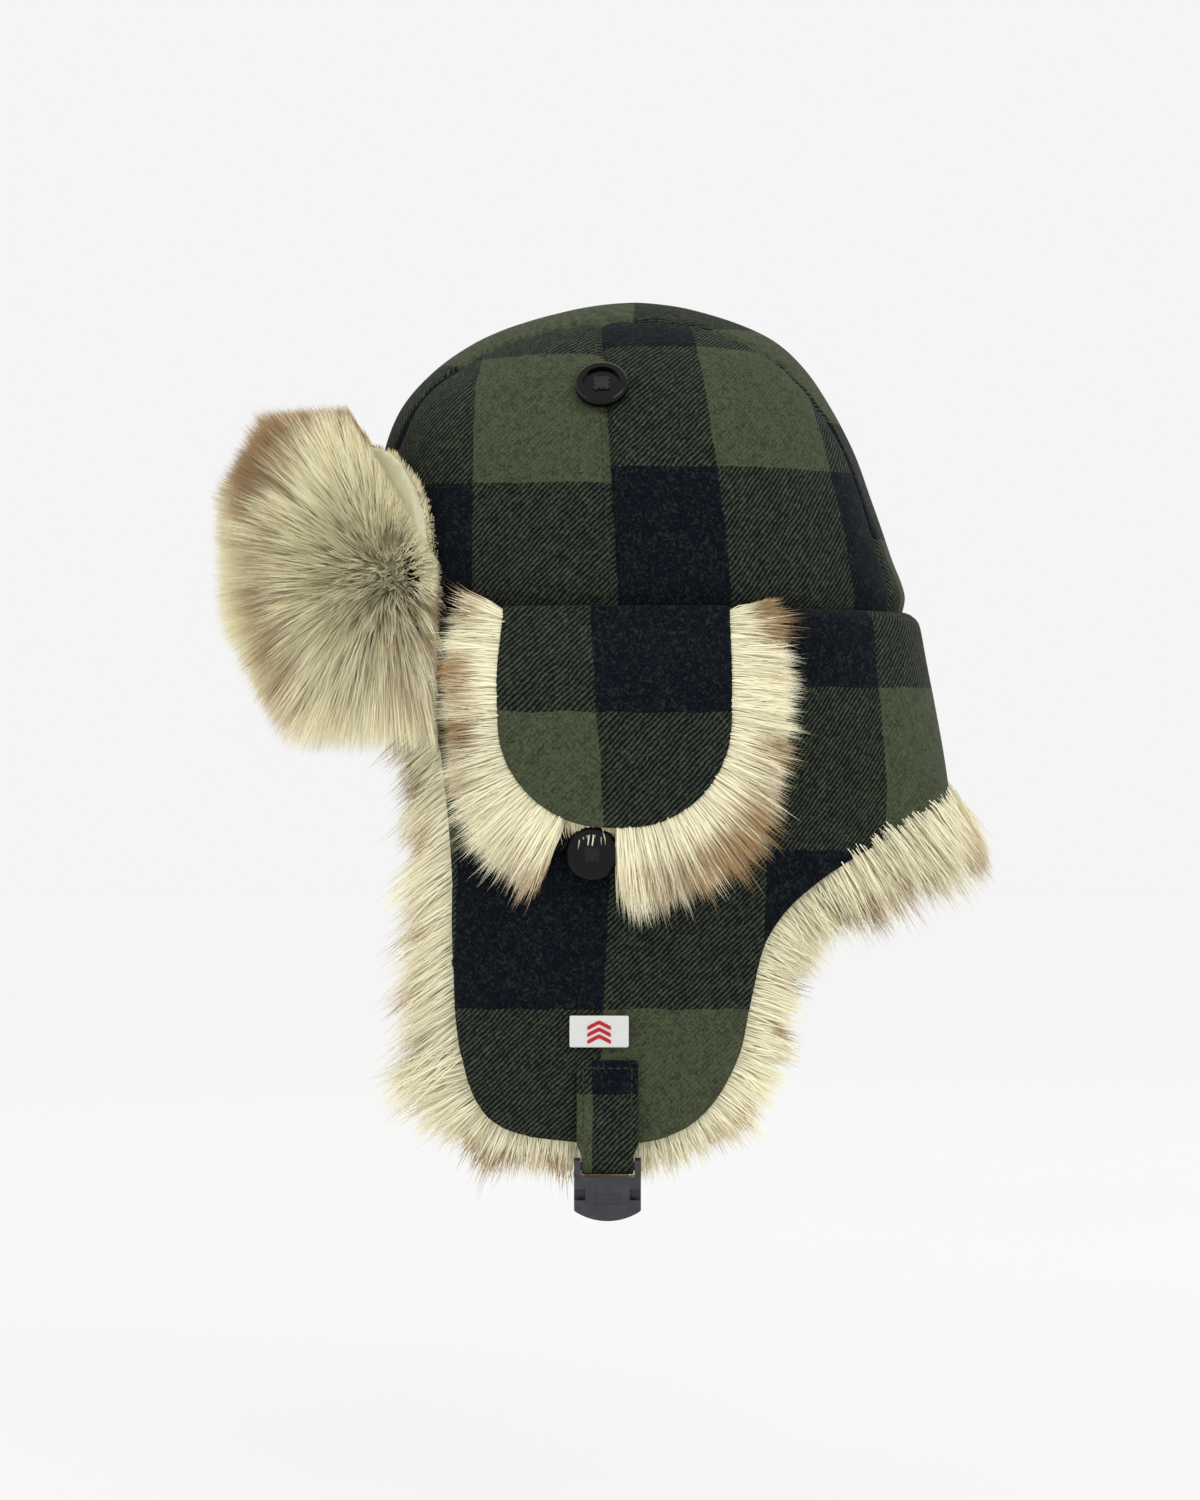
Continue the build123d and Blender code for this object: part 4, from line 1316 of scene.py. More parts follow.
@dataclass
class SidePiece:
    """One side of the hat below the crown: neck curtain and ear flap in one cloth, and its fur.

    Attributes:
        wardrobe: the finishes.
        side: the wearer's side.
        border_hairs: hairs that stand out past the wool's edge.
        inner_hairs: hairs that face the head.
        pile: thickness of the dense pile under the hairs.
        neck_limit: how far back the neck's hairs reach, along Y.
    """

    wardrobe: Wardrobe
    side: Side
    border_hairs: int = 20500
    inner_hairs: int = 11500
    pile: float = 7.0
    neck_limit: float = 138.5

    def outline(self) -> np.ndarray:
        """The cloth's flat pattern, from the middle of the back down round the flap to the front."""
        corners = list(SIDE_WOOL) + list(FRONT_EDGE)
        arc, run = CURTAIN_FORM.place_of(*np.array(corners).T)
        pattern = list(zip(arc, run))
        front = len(pattern)
        pattern += CURTAIN_FORM.meridian(math.pi / 2, -0.8, NECK_BACK_Z)
        return rounded_outline(pattern, 3.0, (front - 1, front, len(pattern) - 1))

    def free(self, middles: np.ndarray) -> np.ndarray:
        """Says which stretches of the outline are free edges, not the crown seam or the back seam."""
        back = CURTAIN_FORM.arc_at(np.full(len(middles), math.pi / 2), middles[:, 1])
        return (middles[:, 1] > 3.0) & (middles[:, 0] < back - 2.5)

    def port_edge(self, grow: float = 0.0) -> np.ndarray:
        """The hearing port's rounded outline in the flat pattern."""
        y, z, wide, high, corner = PORT
        turns = np.linspace(0, 2 * math.pi, 48, endpoint=False)
        across = np.sign(np.cos(turns)) * (wide / 2 - corner) + (corner + grow) * np.cos(turns)
        up = np.sign(np.sin(turns)) * (high / 2 - corner) + (corner + grow) * np.sin(turns)
        arc, run = CURTAIN_FORM.place_of(y + across, z + up)
        return np.column_stack([arc, run])

    def open_port(self, piece: bpy.types.Object, edge: np.ndarray) -> None:
        """Takes the hearing port out of the flat cloth and rounds its rim.

        Args:
            piece: the cloth while it still lies flat.
            edge: the port's outline in the pattern.
        """
        mesh = bmesh.new()
        mesh.from_mesh(piece.data)
        flat = np.array([vertex.co[:2] for vertex in mesh.verts]) / MM
        inner = inside(flat, edge)
        bmesh.ops.delete(mesh, geom=[v for v, gone in zip(list(mesh.verts), inner) if gone], context="VERTS")
        middle = edge.mean(axis=0)
        tree = KDTree(len(edge) * 4)
        dense = np.concatenate([edge + (np.roll(edge, -1, axis=0) - edge) * k / 4 for k in range(4)])
        for i, place in enumerate(dense):
            tree.insert((*place, 0.0), i)
        tree.balance()
        reach = np.linalg.norm(edge - middle, axis=1).max() + 9.0
        for vertex in mesh.verts:
            at = np.array(vertex.co[:2]) / MM
            if vertex.is_boundary and np.linalg.norm(at - middle) < reach:
                near, _, _ = tree.find((*at, 0.0))
                vertex.co[:2] = (near[0] * MM, near[1] * MM)
        mesh.to_mesh(piece.data)
        mesh.free()

    def weights(self, z: np.ndarray) -> np.ndarray:
        """Share of the ear flap at heights in millimetres."""
        return ease(-z, -FOLD_Z - FOLD_BAND, -FOLD_Z + FOLD_BAND)

    def bend_points(self) -> tuple[Vector, Vector]:
        """Two points above and below the flap's fold, where the cloth's bend would start and end."""
        x = self.side.value * 85.0
        return Vector((x, 0, FOLD_Z + FOLD_BAND)) * MM, Vector((x, 0, FOLD_Z - FOLD_BAND)) * MM

    def swell(self, arc: np.ndarray, run: np.ndarray) -> np.ndarray:
        """How the wool stands off its form: rolled at the crown seam, a little soft elsewhere."""
        places = np.column_stack([arc, run, arc * 0])
        soft = (patches(places, 60.0, 11 + self.side.value) - 0.5) * 2.2 * ease(run, 5, 40)
        return soft - 5.2 * np.exp(-(run / 2.4) ** 2) + 0.6 * ease(run, 2, 12)

    def build(self) -> None:
        """Makes the wool and the fur."""
        outline = self.outline()
        plaid = Plaid((-16.0, 45.0, 92.0), (33.0, 96.0, 158.0), 0.05)
        cloth = Cloth(f"wool_{self.side.word}_curtain_and_flap", CURTAIN_FORM, self.side, outline, plaid,
                      self.swell, 3.6)
        cloth.hole = self.open_port
        cloth.hole_edge = self.port_edge()
        piece = cloth.build()
        weights = self.weights(vertices(piece)[:, 2] / MM)
        word = self.side.word
        bend_piece(piece, Slot.WOOL, self.wardrobe.made["wool"], "crown", f"{word}_ear_flap", weights,
                   *self.bend_points(), f"{word}_curtain_shell", f"{word}_ear_flap_shell")
        cloth.declare(piece, "hung", [f"wool_{word}_front_panel", f"wool_{word}_rear_panel"])
        self.fur(cloth, outline)

    def fur(self, cloth: Cloth, outline: np.ndarray) -> None:
        """The dense pile behind the wool, and the long hairs round its edge and inside."""
        word = self.side.word
        dice = np.random.default_rng(40 + self.side.value)
        base = Cloth(f"fur_{word}_curtain_and_flap", CURTAIN_FORM, self.side, outline, Plaid(),
                     lambda arc, run: -2.6 - 6.5 * np.exp(-(run / 3.5) ** 2), 4.2, self.pile)
        base.hole = self.open_port
        base.hole_edge = self.port_edge(1.0)
        body = base.build()
        tint_base(body)
        border = self.border(base, outline, dice)
        inner = self.inner(base, outline, dice)
        weights = [self.weights(vertices(body)[:, 2] / MM)]
        pieces = [body]
        for label, hairs in (("border", border), ("inner", inner)):
            pieces.append(hairs.mesh(f"{label}_{word}", dice))
            weights.append(np.repeat(hairs.weight, 7))
        fur = join(pieces, f"fur_{word}_curtain_and_flap")
        bend_piece(fur, Slot.FUR, self.wardrobe.made["fur"], "crown", f"{word}_ear_flap",
                   np.concatenate(weights), *self.bend_points(), f"{word}_curtain_fur", f"{word}_ear_flap_fur")

    def border(self, base: Cloth, outline: np.ndarray, dice: np.random.Generator) -> Hairs:
        """Hairs that stand out past the free edges."""
        at, out = edge_walk(outline, self.free, self.border_hairs, dice)
        count = len(at)
        inset = dice.random(count) ** 1.3 * 13.0
        depth = -2.9 - dice.random(count) * (self.pile - 0.6)
        roots = at - out * inset[:, None]
        root = base.spread(roots[:, 0], roots[:, 1], depth)
        tip = base.spread(*(roots + out * 6.0).T, depth)
        tangent = unit(tip - root)
        outwards = unit(root * np.array([1.0, 0.6, 0.0]))
        deep = ((-2.9 - depth) / self.pile)[:, None]
        front = ease(-root[:, 1], 40, 66)[:, None]
        neck = ease(root[:, 1], 50, 95)[:, None]
        lean = (tangent - outwards * (0.05 + 0.75 * deep) * (1 - 0.9 * neck) + outwards * 0.85 * neck
                + np.array([0.0, 0.0, -0.5]) * front * (root[:, 2:] > -170))
        lean = unit(lean + dice.normal(0, 0.10, (count, 3)))
        reach = 22.0 + 11.0 * front[:, 0] - 6.0 * ease(-root[:, 2], 185, 205) + 5.0 * neck[:, 0]
        reach = reach * (0.80 + 0.40 * patches(root, 13.0, 25))
        length = (reach + inset * 0.75) * dice.normal(0.92, 0.10, count).clip(0.55, 1.1)
        bend = np.column_stack([dice.normal(0, 1.2, count), dice.normal(0, 1.5, count),
                                -length * (0.12 + 0.10 * neck[:, 0]) + dice.normal(0, 1.2, count)])
        light = 0.45 + 0.55 * patches(root, 26.0, 21) - 0.25 * deep[:, 0] + dice.normal(0, 0.07, count)
        rim = ease(-inset, -9.0, -1.0)
        brown = (1.9 * patches(root, 15.0, 22) - 0.46) * (0.25 + 0.75 * rim)
        brown = brown + 0.45 * neck[:, 0] * rim
        hairs = Hairs(root, lean, bend, length, outwards, light, brown, self.weights(root[:, 2]), 0.55)
        return hairs.tufted(dice, 0.05, 0.4).clipped(((1.0, 0.0, self.neck_limit),), dice)

    def inner(self, base: Cloth, outline: np.ndarray, dice: np.random.Generator) -> Hairs:
        """Hairs over the face that lies on the head."""
        at = scatter(outline, self.inner_hairs, dice)
        at = at[~inside(at, self.port_edge())]
        count = len(at)
        depth = np.full(count, -2.6 - self.pile + 0.5)
        root = base.spread(at[:, 0], at[:, 1], depth)
        inwards = unit(base.spread(at[:, 0], at[:, 1], depth - 1.0) - root)
        lean = unit(inwards * 0.8 + np.array([0.0, 0.0, -0.8]) + dice.normal(0, 0.22, (count, 3)))
        length = 15.0 * dice.normal(1.0, 0.14, count).clip(0.6, 1.3)
        bend = np.column_stack([np.zeros(count), dice.normal(0, 1.6, count), -length * 0.22])
        light = 0.3 + 0.6 * patches(root, 30.0, 23)
        brown = 1.2 * patches(root, 20.0, 24) - 0.5
        hairs = Hairs(root, lean, bend, length, inwards, light, brown, self.weights(root[:, 2]), 0.75)
        return hairs.tufted(dice, 0.05, 0.6)


# ---------------------------------------------------------------- hearing hatches
@dataclass
class Hatch:
    """The buttoned hatch over a hearing port: wool above, a fur band round its edge.

    Attributes:
        wardrobe: the finishes.
        side: the wearer's side.
        front: front edge, along Y.
        back: back edge, along Y.
        bottom: lowest point.
        corner: radius of the round corners.
        proud: how far the wool's face stands off the curtain.
        hairs: hairs in the band.
        inner_hairs: hairs over the inner face.
        nap_length: their mean length.
        gap: where the band parts for the button, along Y.
    """

    wardrobe: Wardrobe
    side: Side
    front: float = -56.4
    back: float = 31.0
    bottom: float = -87.0
    corner: float = 40.0
    proud: float = 9.6
    hairs: int = 27000
    inner_hairs: int = 7000
    nap_length: float = 12.0
    gap: tuple[float, float] = (-32.5, -12.5)

    def outline(self, grow: float = 0.0) -> np.ndarray:
        """The hatch's U in the flat pattern, grown outwards by a distance."""
        turns = np.linspace(0, math.pi / 2, 12)
        radius = self.corner + grow
        middle_z = self.bottom + self.corner
        places = [(self.front - grow, -1.2)]
        places += [(self.front + self.corner - radius * math.cos(t),
                    middle_z - radius * math.sin(t)) for t in turns]
        places += [(self.back - self.corner + radius * math.sin(t),
                    middle_z - radius * math.cos(t)) for t in turns]
        places += [(self.back + grow, -1.2)]
        arc, run = CURTAIN_FORM.place_of(*np.array(places).T)
        return rounded_outline(list(zip(arc, run)), 2.4, (0, len(places) - 1))

    def stand(self, arc: np.ndarray, run: np.ndarray) -> np.ndarray:
        """How far the wool's face stands off the form: close at the seam, proud over the fur."""
        return 2.2 + self.proud * ease(run, 0.0, 34.0)

    def free(self, middles: np.ndarray) -> np.ndarray:
        """Says which stretches of the U are free, not the crown seam."""
        return middles[:, 1] > 4.0

    def weights(self, z: np.ndarray) -> np.ndarray:
        """Share of the hatch at heights in millimetres."""
        return ease(-z, 0.6, 10.0)

    def build(self) -> None:
        """Makes the wool and its fur band."""
        word = self.side.word
        outline = self.outline()
        ends = Vector((self.side.value * 0.09, 0, -0.0006)), Vector((self.side.value * 0.09, 0, -0.010))
        cloth = Cloth(f"wool_{word}_hatch", CURTAIN_FORM, self.side, outline,
                      Plaid((-84.0, -23.0), (43.0,)), self.stand, 3.2)
        piece = cloth.build()
        bend_piece(piece, Slot.WOOL, self.wardrobe.made["wool"], "crown", f"{word}_hatch",
                   self.weights(vertices(piece)[:, 2] / MM), *ends, f"{word}_hatch_shell")
        cloth.declare(piece, "hung", [f"wool_{word}_curtain_and_flap"])
        dice = np.random.default_rng(60 + self.side.value)
        base = Cloth(f"fur_{word}_hatch", CURTAIN_FORM, self.side, outline, Plaid(),
                     lambda arc, run: self.stand(arc, run) - 2.2, 4.0, 4.2)
        body = base.build()
        tint_base(body)
        weights = [self.weights(vertices(body)[:, 2] / MM)]
        pieces = [body]
        for label, hairs in (("band", self.band(base, outline, dice)),
                             ("nap", self.nap(base, outline, dice))):
            pieces.append(hairs.mesh(f"{label}_{word}", dice))
            weights.append(np.repeat(hairs.weight, 7))
        fur = join(pieces, f"fur_{word}_hatch")
        bend_piece(fur, Slot.FUR, self.wardrobe.made["fur"], "crown", f"{word}_hatch",
                   np.concatenate(weights),
                   *ends, f"{word}_hatch_fur")

    def nap(self, base: Cloth, outline: np.ndarray, dice: np.random.Generator) -> Hairs:
        """Short hairs over the hatch's inner face, seen when it is open."""
        at = scatter(outline, self.inner_hairs, dice)
        at = at[at[:, 1] > 6.0]
        count = len(at)
        depth = base.proud(at[:, 0], at[:, 1]) - 4.0
        root = base.spread(at[:, 0], at[:, 1], depth)
        inwards = unit(base.spread(at[:, 0], at[:, 1], depth - 1.0) - root)
        lean = unit(inwards * 0.25 + np.array([0.0, 0.0, -1.0]) + dice.normal(0, 0.22, (count, 3)))
        length = self.nap_length * dice.normal(1.0, 0.14, count).clip(0.6, 1.3)
        light = 0.55 + 0.4 * patches(root, 24.0, 33)
        brown = 1.3 * patches(root, 16.0, 34) - 0.5
        hairs = Hairs(root, lean, lean * 0.0, length, inwards, light, brown, self.weights(root[:, 2]), 0.8)
        return hairs.tufted(dice, 0.05, 0.3)

    def band(self, base: Cloth, outline: np.ndarray, dice: np.random.Generator) -> Hairs:
        """Hairs that flow out from under the wool's edge, parted at the button."""
        at, out = edge_walk(outline, self.free, self.hairs, dice)
        y = base.spread(at[:, 0], at[:, 1], np.zeros(len(at)))[:, 1]
        low = at[:, 1] > -self.bottom - 14.0
        parted = low & (y > self.gap[0]) & (y < self.gap[1])
        at, out, y, low = at[~parted], out[~parted], y[~parted], low[~parted]
        count = len(at)
        inset = dice.random(count) * 7.0 - 0.5
        height = dice.random(count)
        roots = at - out * inset[:, None]
        roots[:, 1] = np.maximum(roots[:, 1], 1.5)
        depth = base.proud(roots[:, 0], roots[:, 1]) - 0.2 - 3.6 * (1 - height)
        root = base.spread(roots[:, 0], roots[:, 1], depth)
        tangent = unit(base.spread(*(roots + out * 6.0).T, depth) - root)
        normal = unit(base.spread(roots[:, 0], roots[:, 1], depth + 1.0) - root)
        lift = (0.04 + 0.34 * height)[:, None]
        lean = unit(tangent + normal * lift + dice.normal(0, 0.07, (count, 3)))
        lowness = ease(at[:, 1], 48.0, 84.0)
        length = (20.5 + 7.5 * lowness + inset) * dice.normal(0.98, 0.08, count).clip(0.6, 1.2)
        near_gap = np.exp(-((y - sum(self.gap) / 2) / 12.0) ** 2) * low
        bend = normal * (-length * 0.24)[:, None] + dice.normal(0, 1.0, (count, 3))
        bend[:, 1] += np.sign(y - sum(self.gap) / 2) * near_gap * 5.0
        bend[:, 2] -= length * 0.06
        light = 0.80 + 0.4 * (patches(root, 22.0, 31) - 0.5) + dice.normal(0, 0.08, count)
        brown = 1.5 * patches(root, 16.0, 32) - 0.45
        hairs = Hairs(root, lean, bend, length, normal, light, brown, self.weights(root[:, 2]), 0.5)
        return hairs.tufted(dice, 0.06, 0.18)


# ---------------------------------------------------------------- the visor
VISOR_SIDE = ((-90.5, -23.0), (-88.5, 2.0), (-92.0, 38.0), (-106.0, 62.0), (-128.0, 70.0))


@dataclass
class Visor:
    """The turned-up visor: wool at its back, long fur all over its front.

    Attributes:
        wardrobe: the finishes.
        hairs: hairs on each half.
        face_share: share of them on the face, the rest round the rim.
        inset: how far the dense pile lies inside the fur's outer form.
        whorl: where the hairs part at the side, as (y, z).
        clip: planes past which no hair reaches, each as an outward direction in y and z and a limit.
        band: height over which the visor's weights rise from its base.
    """

    wardrobe: Wardrobe
    hairs: int = 33500
    face_share: float = 0.62
    inset: float = 15.0
    whorl: tuple[float, float] = (-108.0, 8.0)
    clip: tuple[tuple[float, float, float], ...] = (
        (-1.0, 0.0, 175.0), (1.0, 0.0, -82.0), (0.0, 1.0, 79.0), (0.0, -1.0, 61.0),
        (0.863, 0.507, -62.5), (-0.862, 0.507, 174.0), (-0.868, -0.496, 156.0))
    band: float = 8.0

    def pattern(self, form: Form, corners: tuple[tuple[float, float], ...], low: float,
                high: float) -> np.ndarray:
        """A half visor's flat pattern on a form, closed at the middle of the front."""
        arc, run = form.place_of(*np.array(corners).T)
        side = len(arc)
        pattern = list(zip(arc, run)) + form.meridian(-math.pi / 2, high, low)
        return rounded_outline(pattern, 4.0, (0, side - 1, side, len(pattern) - 1))

    def weights(self, z: np.ndarray) -> np.ndarray:
        """Share of the visor at heights in millimetres."""
        return ease(z, -24.0, -24.0 + self.band)

    def half(self, name: str, form: Form, corners: tuple, low: float, high: float, proud: object,
             thickness: float) -> tuple[bpy.types.Object, Cloth]:
        """A mirrored cloth of the whole visor on a form, and the half it was made from."""
        outline = self.pattern(form, corners, low, high)
        cloth = Cloth(name, form, Side.LEFT, outline, Plaid((-70.0,), (40.0,)), proud, 4.0, thickness)
        piece = cloth.flat_piece()
        apply_modifier(piece, "MIRROR", use_axis=(True, False, False), merge_threshold=0.0006)
        cloth.thicken(piece)
        return piece, cloth

    def build(self) -> None:
        """Makes the wool back and the fur."""
        ends = Vector((0, -0.112, -0.024)), Vector((0, -0.112, -0.024 + self.band * MM))
        cloth_side = ((-89.5, -23.0), (-88.5, 0.0), (-94.0, 30.0), (-112.0, 49.0))
        wool, cloth = self.half("wool_visor_back", VISOR_FORM, cloth_side, -23.0, 52.0, 1.6, 1.8)
        weights = self.weights(vertices(wool)[:, 2] / MM)
        bend_piece(wool, Slot.WOOL, self.wardrobe.made["wool"], "crown", "visor", weights, *ends,
                   "visor_shell")
        cloth.declare(wool, "stretched", ["wool_brow_band"], 2)
        body = self.pile()
        tint_base(body, 0.25)
        weights = [self.weights(vertices(body)[:, 2] / MM)]
        pieces = [body]
        for side in Side:
            dice = np.random.default_rng(80 + side.value)
            hairs = self.pelt(side, dice)
            pieces.append(hairs.mesh(f"visor_{side.word}", dice))
            weights.append(np.repeat(hairs.weight, 7))
        fur = join(pieces[:2], "fur_visor")
        bend_piece(fur, Slot.FUR, self.wardrobe.made["fur"], "crown", "visor", np.concatenate(weights[:2]),
                   *ends,
                   "visor_fur", "visor_wadding")
        bend_piece(pieces[2], Slot.FUR, self.wardrobe.made["fur"], "crown", "visor", weights[2], *ends)
        pieces[2].name = pieces[2].data.name = "fur_visor_right_half"

    def pile(self) -> bpy.types.Object:
        """The dense pile between the hairs' roots and the wool back."""
        outline = self.pattern(VISOR_FUR_FORM, VISOR_SIDE, -23.0, 70.0)
        cloth = Cloth("fur_visor", VISOR_FUR_FORM, Side.LEFT, outline, Plaid(), -self.inset, 4.0, 1.0)
        piece = cloth.flat_piece()
        apply_modifier(piece, "MIRROR", use_axis=(True, False, False), merge_threshold=0.0006)
        cloth.close_up(piece)
        count = len(piece.data.vertices)
        apply_modifier(piece, "SOLIDIFY", thickness=1.0 * MM, offset=-1.0)
        places = vertices(piece) / MM
        places[count:] = self.seat(places[:count])
        move_vertices(piece, places * MM)
        apply_modifier(piece, "SUBSURF", levels=1)
        activate(piece)
        bpy.ops.object.shade_smooth()
        return piece

    def seat(self, places: np.ndarray) -> np.ndarray:
        """Where places on the pile's face come down on the wool back."""
        edge = -89.0
        run = VISOR_FORM.run_at(np.clip(places[:, 2], -24.0, 70.0))
        _, _, length, width, square = smooth_columns(run, VISOR_FORM.runs, VISOR_FORM.table).T
        far = places[:, 1].min()
        y = edge + (np.minimum(places[:, 1], edge) - edge) * (length - 0.5 + edge) / (-far + edge)
        x = width * (1 - np.clip(np.abs(y) / length, 0, 1) ** square) ** (1 / square)
        return np.column_stack([np.sign(places[:, 0]) * x, y - 2.2, np.clip(places[:, 2], -23.0, 68.0)])

    def pelt(self, side: Side, dice: np.random.Generator) -> Hairs:
        """One half's hairs, which part at a whorl on its side and stand out all round."""
        outline = self.pattern(VISOR_FUR_FORM, VISOR_SIDE, -23.0, 70.0)
        cloth = Cloth("pelt", VISOR_FUR_FORM, side, outline, Plaid())
        face = scatter(outline, int(self.hairs * self.face_share), dice)
        rim, out = edge_walk(outline, lambda m: m[:, 0] > outline[:, 0].min() + 6,
                             int(self.hairs * (1 - self.face_share)), dice)
        rim = rim - out * (dice.random(len(rim)) * 8.0)[:, None]
        at = np.concatenate([face, rim])
        count = len(at)
        deep = np.concatenate([dice.random(len(face)) * 1.5, dice.random(len(rim)) * 11.0])
        root = cloth.spread(at[:, 0], at[:, 1], -self.inset - deep)
        normal = unit(cloth.spread(at[:, 0], at[:, 1], -self.inset - deep + 2.0) - root)
        radial = root - np.array([0.0, *self.whorl])
        radial[:, 0] *= 0.25
        spread = np.linalg.norm(radial[:, 1:], axis=1)
        out = (0.9 * ease(spread, 0, 22))[:, None]
        lean = unit(normal * (0.52 - 0.2 * out) + unit(radial) * out + dice.normal(0, 0.07, (count, 3)))
        low = ease(-root[:, 2], -12, 20)
        length = (18.0 + 13.0 * ease(spread, 4, 40) + 12.0 * low) * dice.normal(1.0, 0.10, count).clip(0.6,
                                                                                                       1.25)
        rear = ease(root[:, 1], -116.0, -90.0)
        length *= (1.0 - 0.5 * rear * (1 - low)) * (0.82 + 0.36 * patches(root, 15.0, 53))
        bend = dice.normal(0, 1.3, (count, 3)) + unit(radial) * (length * 0.18)[:, None]
        bend[:, 2] -= length * (0.10 + 0.30 * low)
        ring = ease(spread, 10, 30) * (1 - 0.45 * ease(spread, 46, 62))
        light = 0.42 + 0.58 * ring + 0.30 * (patches(root, 24.0, 51) - 0.5) + dice.normal(0, 0.06, count)
        brown = 1.5 * patches(root, 20.0, 52) - 0.80 + 0.75 * ease(spread, 30, 54)
        hairs = Hairs(root, lean, bend, length, normal, light, brown, self.weights(root[:, 2]), 0.55)
        return hairs.tufted(dice, 0.05, 0.25).clipped(self.clip, dice)


# ---------------------------------------------------------------- small parts
@dataclass
class Stitches:
    """A row of sewn stitches, each a small six-sided grain of thread."""

    pitch: float = 3.0
    length: float = 2.1
    width: float = 0.75

    def row(self, name: str, path: np.ndarray, normal: np.ndarray) -> bpy.types.Object:
        """Sews along a path.

        Args:
            name: the piece's name.
            path: points of the path in millimetres.
            normal: the outward direction at each point.

        Returns:
            The stitches as one mesh.
        """
        steps = np.linalg.norm(np.diff(path, axis=0), axis=1)
        along = np.concatenate([[0.0], np.cumsum(steps)])
        grains = []
        for at in np.arange(self.pitch / 2, along[-1], self.pitch):
            middle = np.array([np.interp(at, along, path[:, k]) for k in range(3)])
            ahead = np.array([np.interp(min(at + 0.5, along[-1]), along, path[:, k]) for k in range(3)])
            behind = np.array([np.interp(max(at - 0.5, 0), along, path[:, k]) for k in range(3)])
            out = np.array([np.interp(at, along, normal[:, k]) for k in range(3)])
            run = unit((ahead - behind)[None])[0]
            out = unit((out - run * out.dot(run))[None])[0]
            grain = primitive("uv_sphere", "grain", segments=6, ring_count=4, radius=0.5 * MM)
            basis = np.column_stack([np.cross(run, out) * self.width, out * self.width * 0.7,
                                     run * self.length])
            move_vertices(grain, vertices(grain) @ basis.T + middle * MM)
            grains.append(grain)
        piece = join(grains, name)
        activate(piece)
        bpy.ops.object.shade_smooth()
        return piece


@dataclass
class Tab:
    """The strap tab on an ear flap: a wool strap sewn on, looped round the buckle's bar.

    Attributes:
        wardrobe: the finishes.
        side: the wearer's side.
        middle: its middle, along Y.
        width: width where it is sewn on.
        loop_width: width round the bar.
        top: height of its upper end.
        bar: the bar's middle, as (x, z).
        ply: thickness of one layer.
    """

    wardrobe: Wardrobe
    side: Side
    middle: float = -16.3
    width: float = 24.0
    loop_width: float = 20.2
    top: float = -177.4
    bar: tuple[float, float] = (80.69, -218.6)
    ply: float = 1.5

    def path(self) -> np.ndarray:
        """The strap's middle line from its top, down its face and round the bar, as (x, z)."""
        radius = 1.6 + 0.25 + self.ply / 2
        top_x = 80.5 + 1.6
        front = [(top_x, self.top), (top_x - 0.1, -188.0), (top_x - 0.1, -200.0),
                 (self.bar[0] + radius, -211.0)]
        turns = np.linspace(0, math.pi, 9)
        loop = [(self.bar[0] + radius * math.cos(t), self.bar[1] - radius * math.sin(t)) for t in turns]
        return np.array(front + loop + [(self.bar[0] - radius, -213.5)])

    def build(self) -> None:
        """Makes the strap and its box of stitches."""
        path = self.path()
        steps = np.concatenate([[0.0], np.cumsum(np.linalg.norm(np.diff(path, axis=0), axis=1))])
        rows, across = 56, 14
        name = f"wool_{self.side.word}_strap_tab"
        piece = primitive("grid", name, x_subdivisions=across, y_subdivisions=rows, size=2)
        flat = vertices(piece)
        along = (flat[:, 1] + 1) / 2 * steps[-1]
        x = np.interp(along, steps, path[:, 0])
        z = np.interp(along, steps, path[:, 1])
        half = np.interp(along, [0, 33.0, 37.0, steps[-1]],
                         [self.width / 2, self.width / 2, self.loop_width / 2, self.loop_width / 2])
        y = self.middle + flat[:, 0] * half
        bow = -0.35 * flat[:, 0] ** 4 * np.exp(-along / 60)
        places = np.column_stack([(x + bow) * self.side.value, y, z])
        for layer in list(piece.data.uv_layers):
            piece.data.uv_layers.remove(layer)
        layer = piece.data.uv_layers.new(name="checks")
        corners = np.empty(len(piece.data.loops), int)
        piece.data.loops.foreach_get("vertex_index", corners)
        checks = np.column_stack([np.full(len(y), 1.1) + (y - self.middle) / 60, (along - 13.0) / 60.0 + 0.0])
        layer.data.foreach_set("uv", checks[corners].astype(np.float32).ravel())
        move_vertices(piece, places * MM)
        activate(piece)
        bpy.ops.object.mode_set(mode="EDIT")
        bpy.ops.mesh.select_all(action="SELECT")
        if (piece.data.polygons[0].normal.x > 0) != (self.side is Side.LEFT):
            bpy.ops.mesh.flip_normals()
        bpy.ops.object.mode_set(mode="OBJECT")
        apply_modifier(piece, "SOLIDIFY", thickness=self.ply * MM, offset=0.0)
        apply_modifier(piece, "SUBSURF", levels=1)
        activate(piece)
        bpy.ops.object.shade_smooth()
        flap = f"{self.side.word}_ear_flap"
        finish_piece(piece, Slot.WOOL, self.wardrobe.made["wool"], flap, f"{self.side.word}_strap_tab")
        face = self.side.value * (82.1 + self.ply / 2 + 0.05)
        inset = self.width / 2 - 2.6
        box = [(-inset, -180.5), (inset, -180.5), (inset, -205.0), (-inset, -205.0), (-inset, -180.5)]
        line = np.array([(face, self.middle + a, z) for a, z in box])
        sewn = Stitches().row(f"stitches_{self.side.word}_strap_tab", line,
                              np.tile([self.side.value, 0.0, 0.0], (5, 1)))
        finish_piece(sewn, Slot.THREAD, self.wardrobe.made["stitch"], flap)


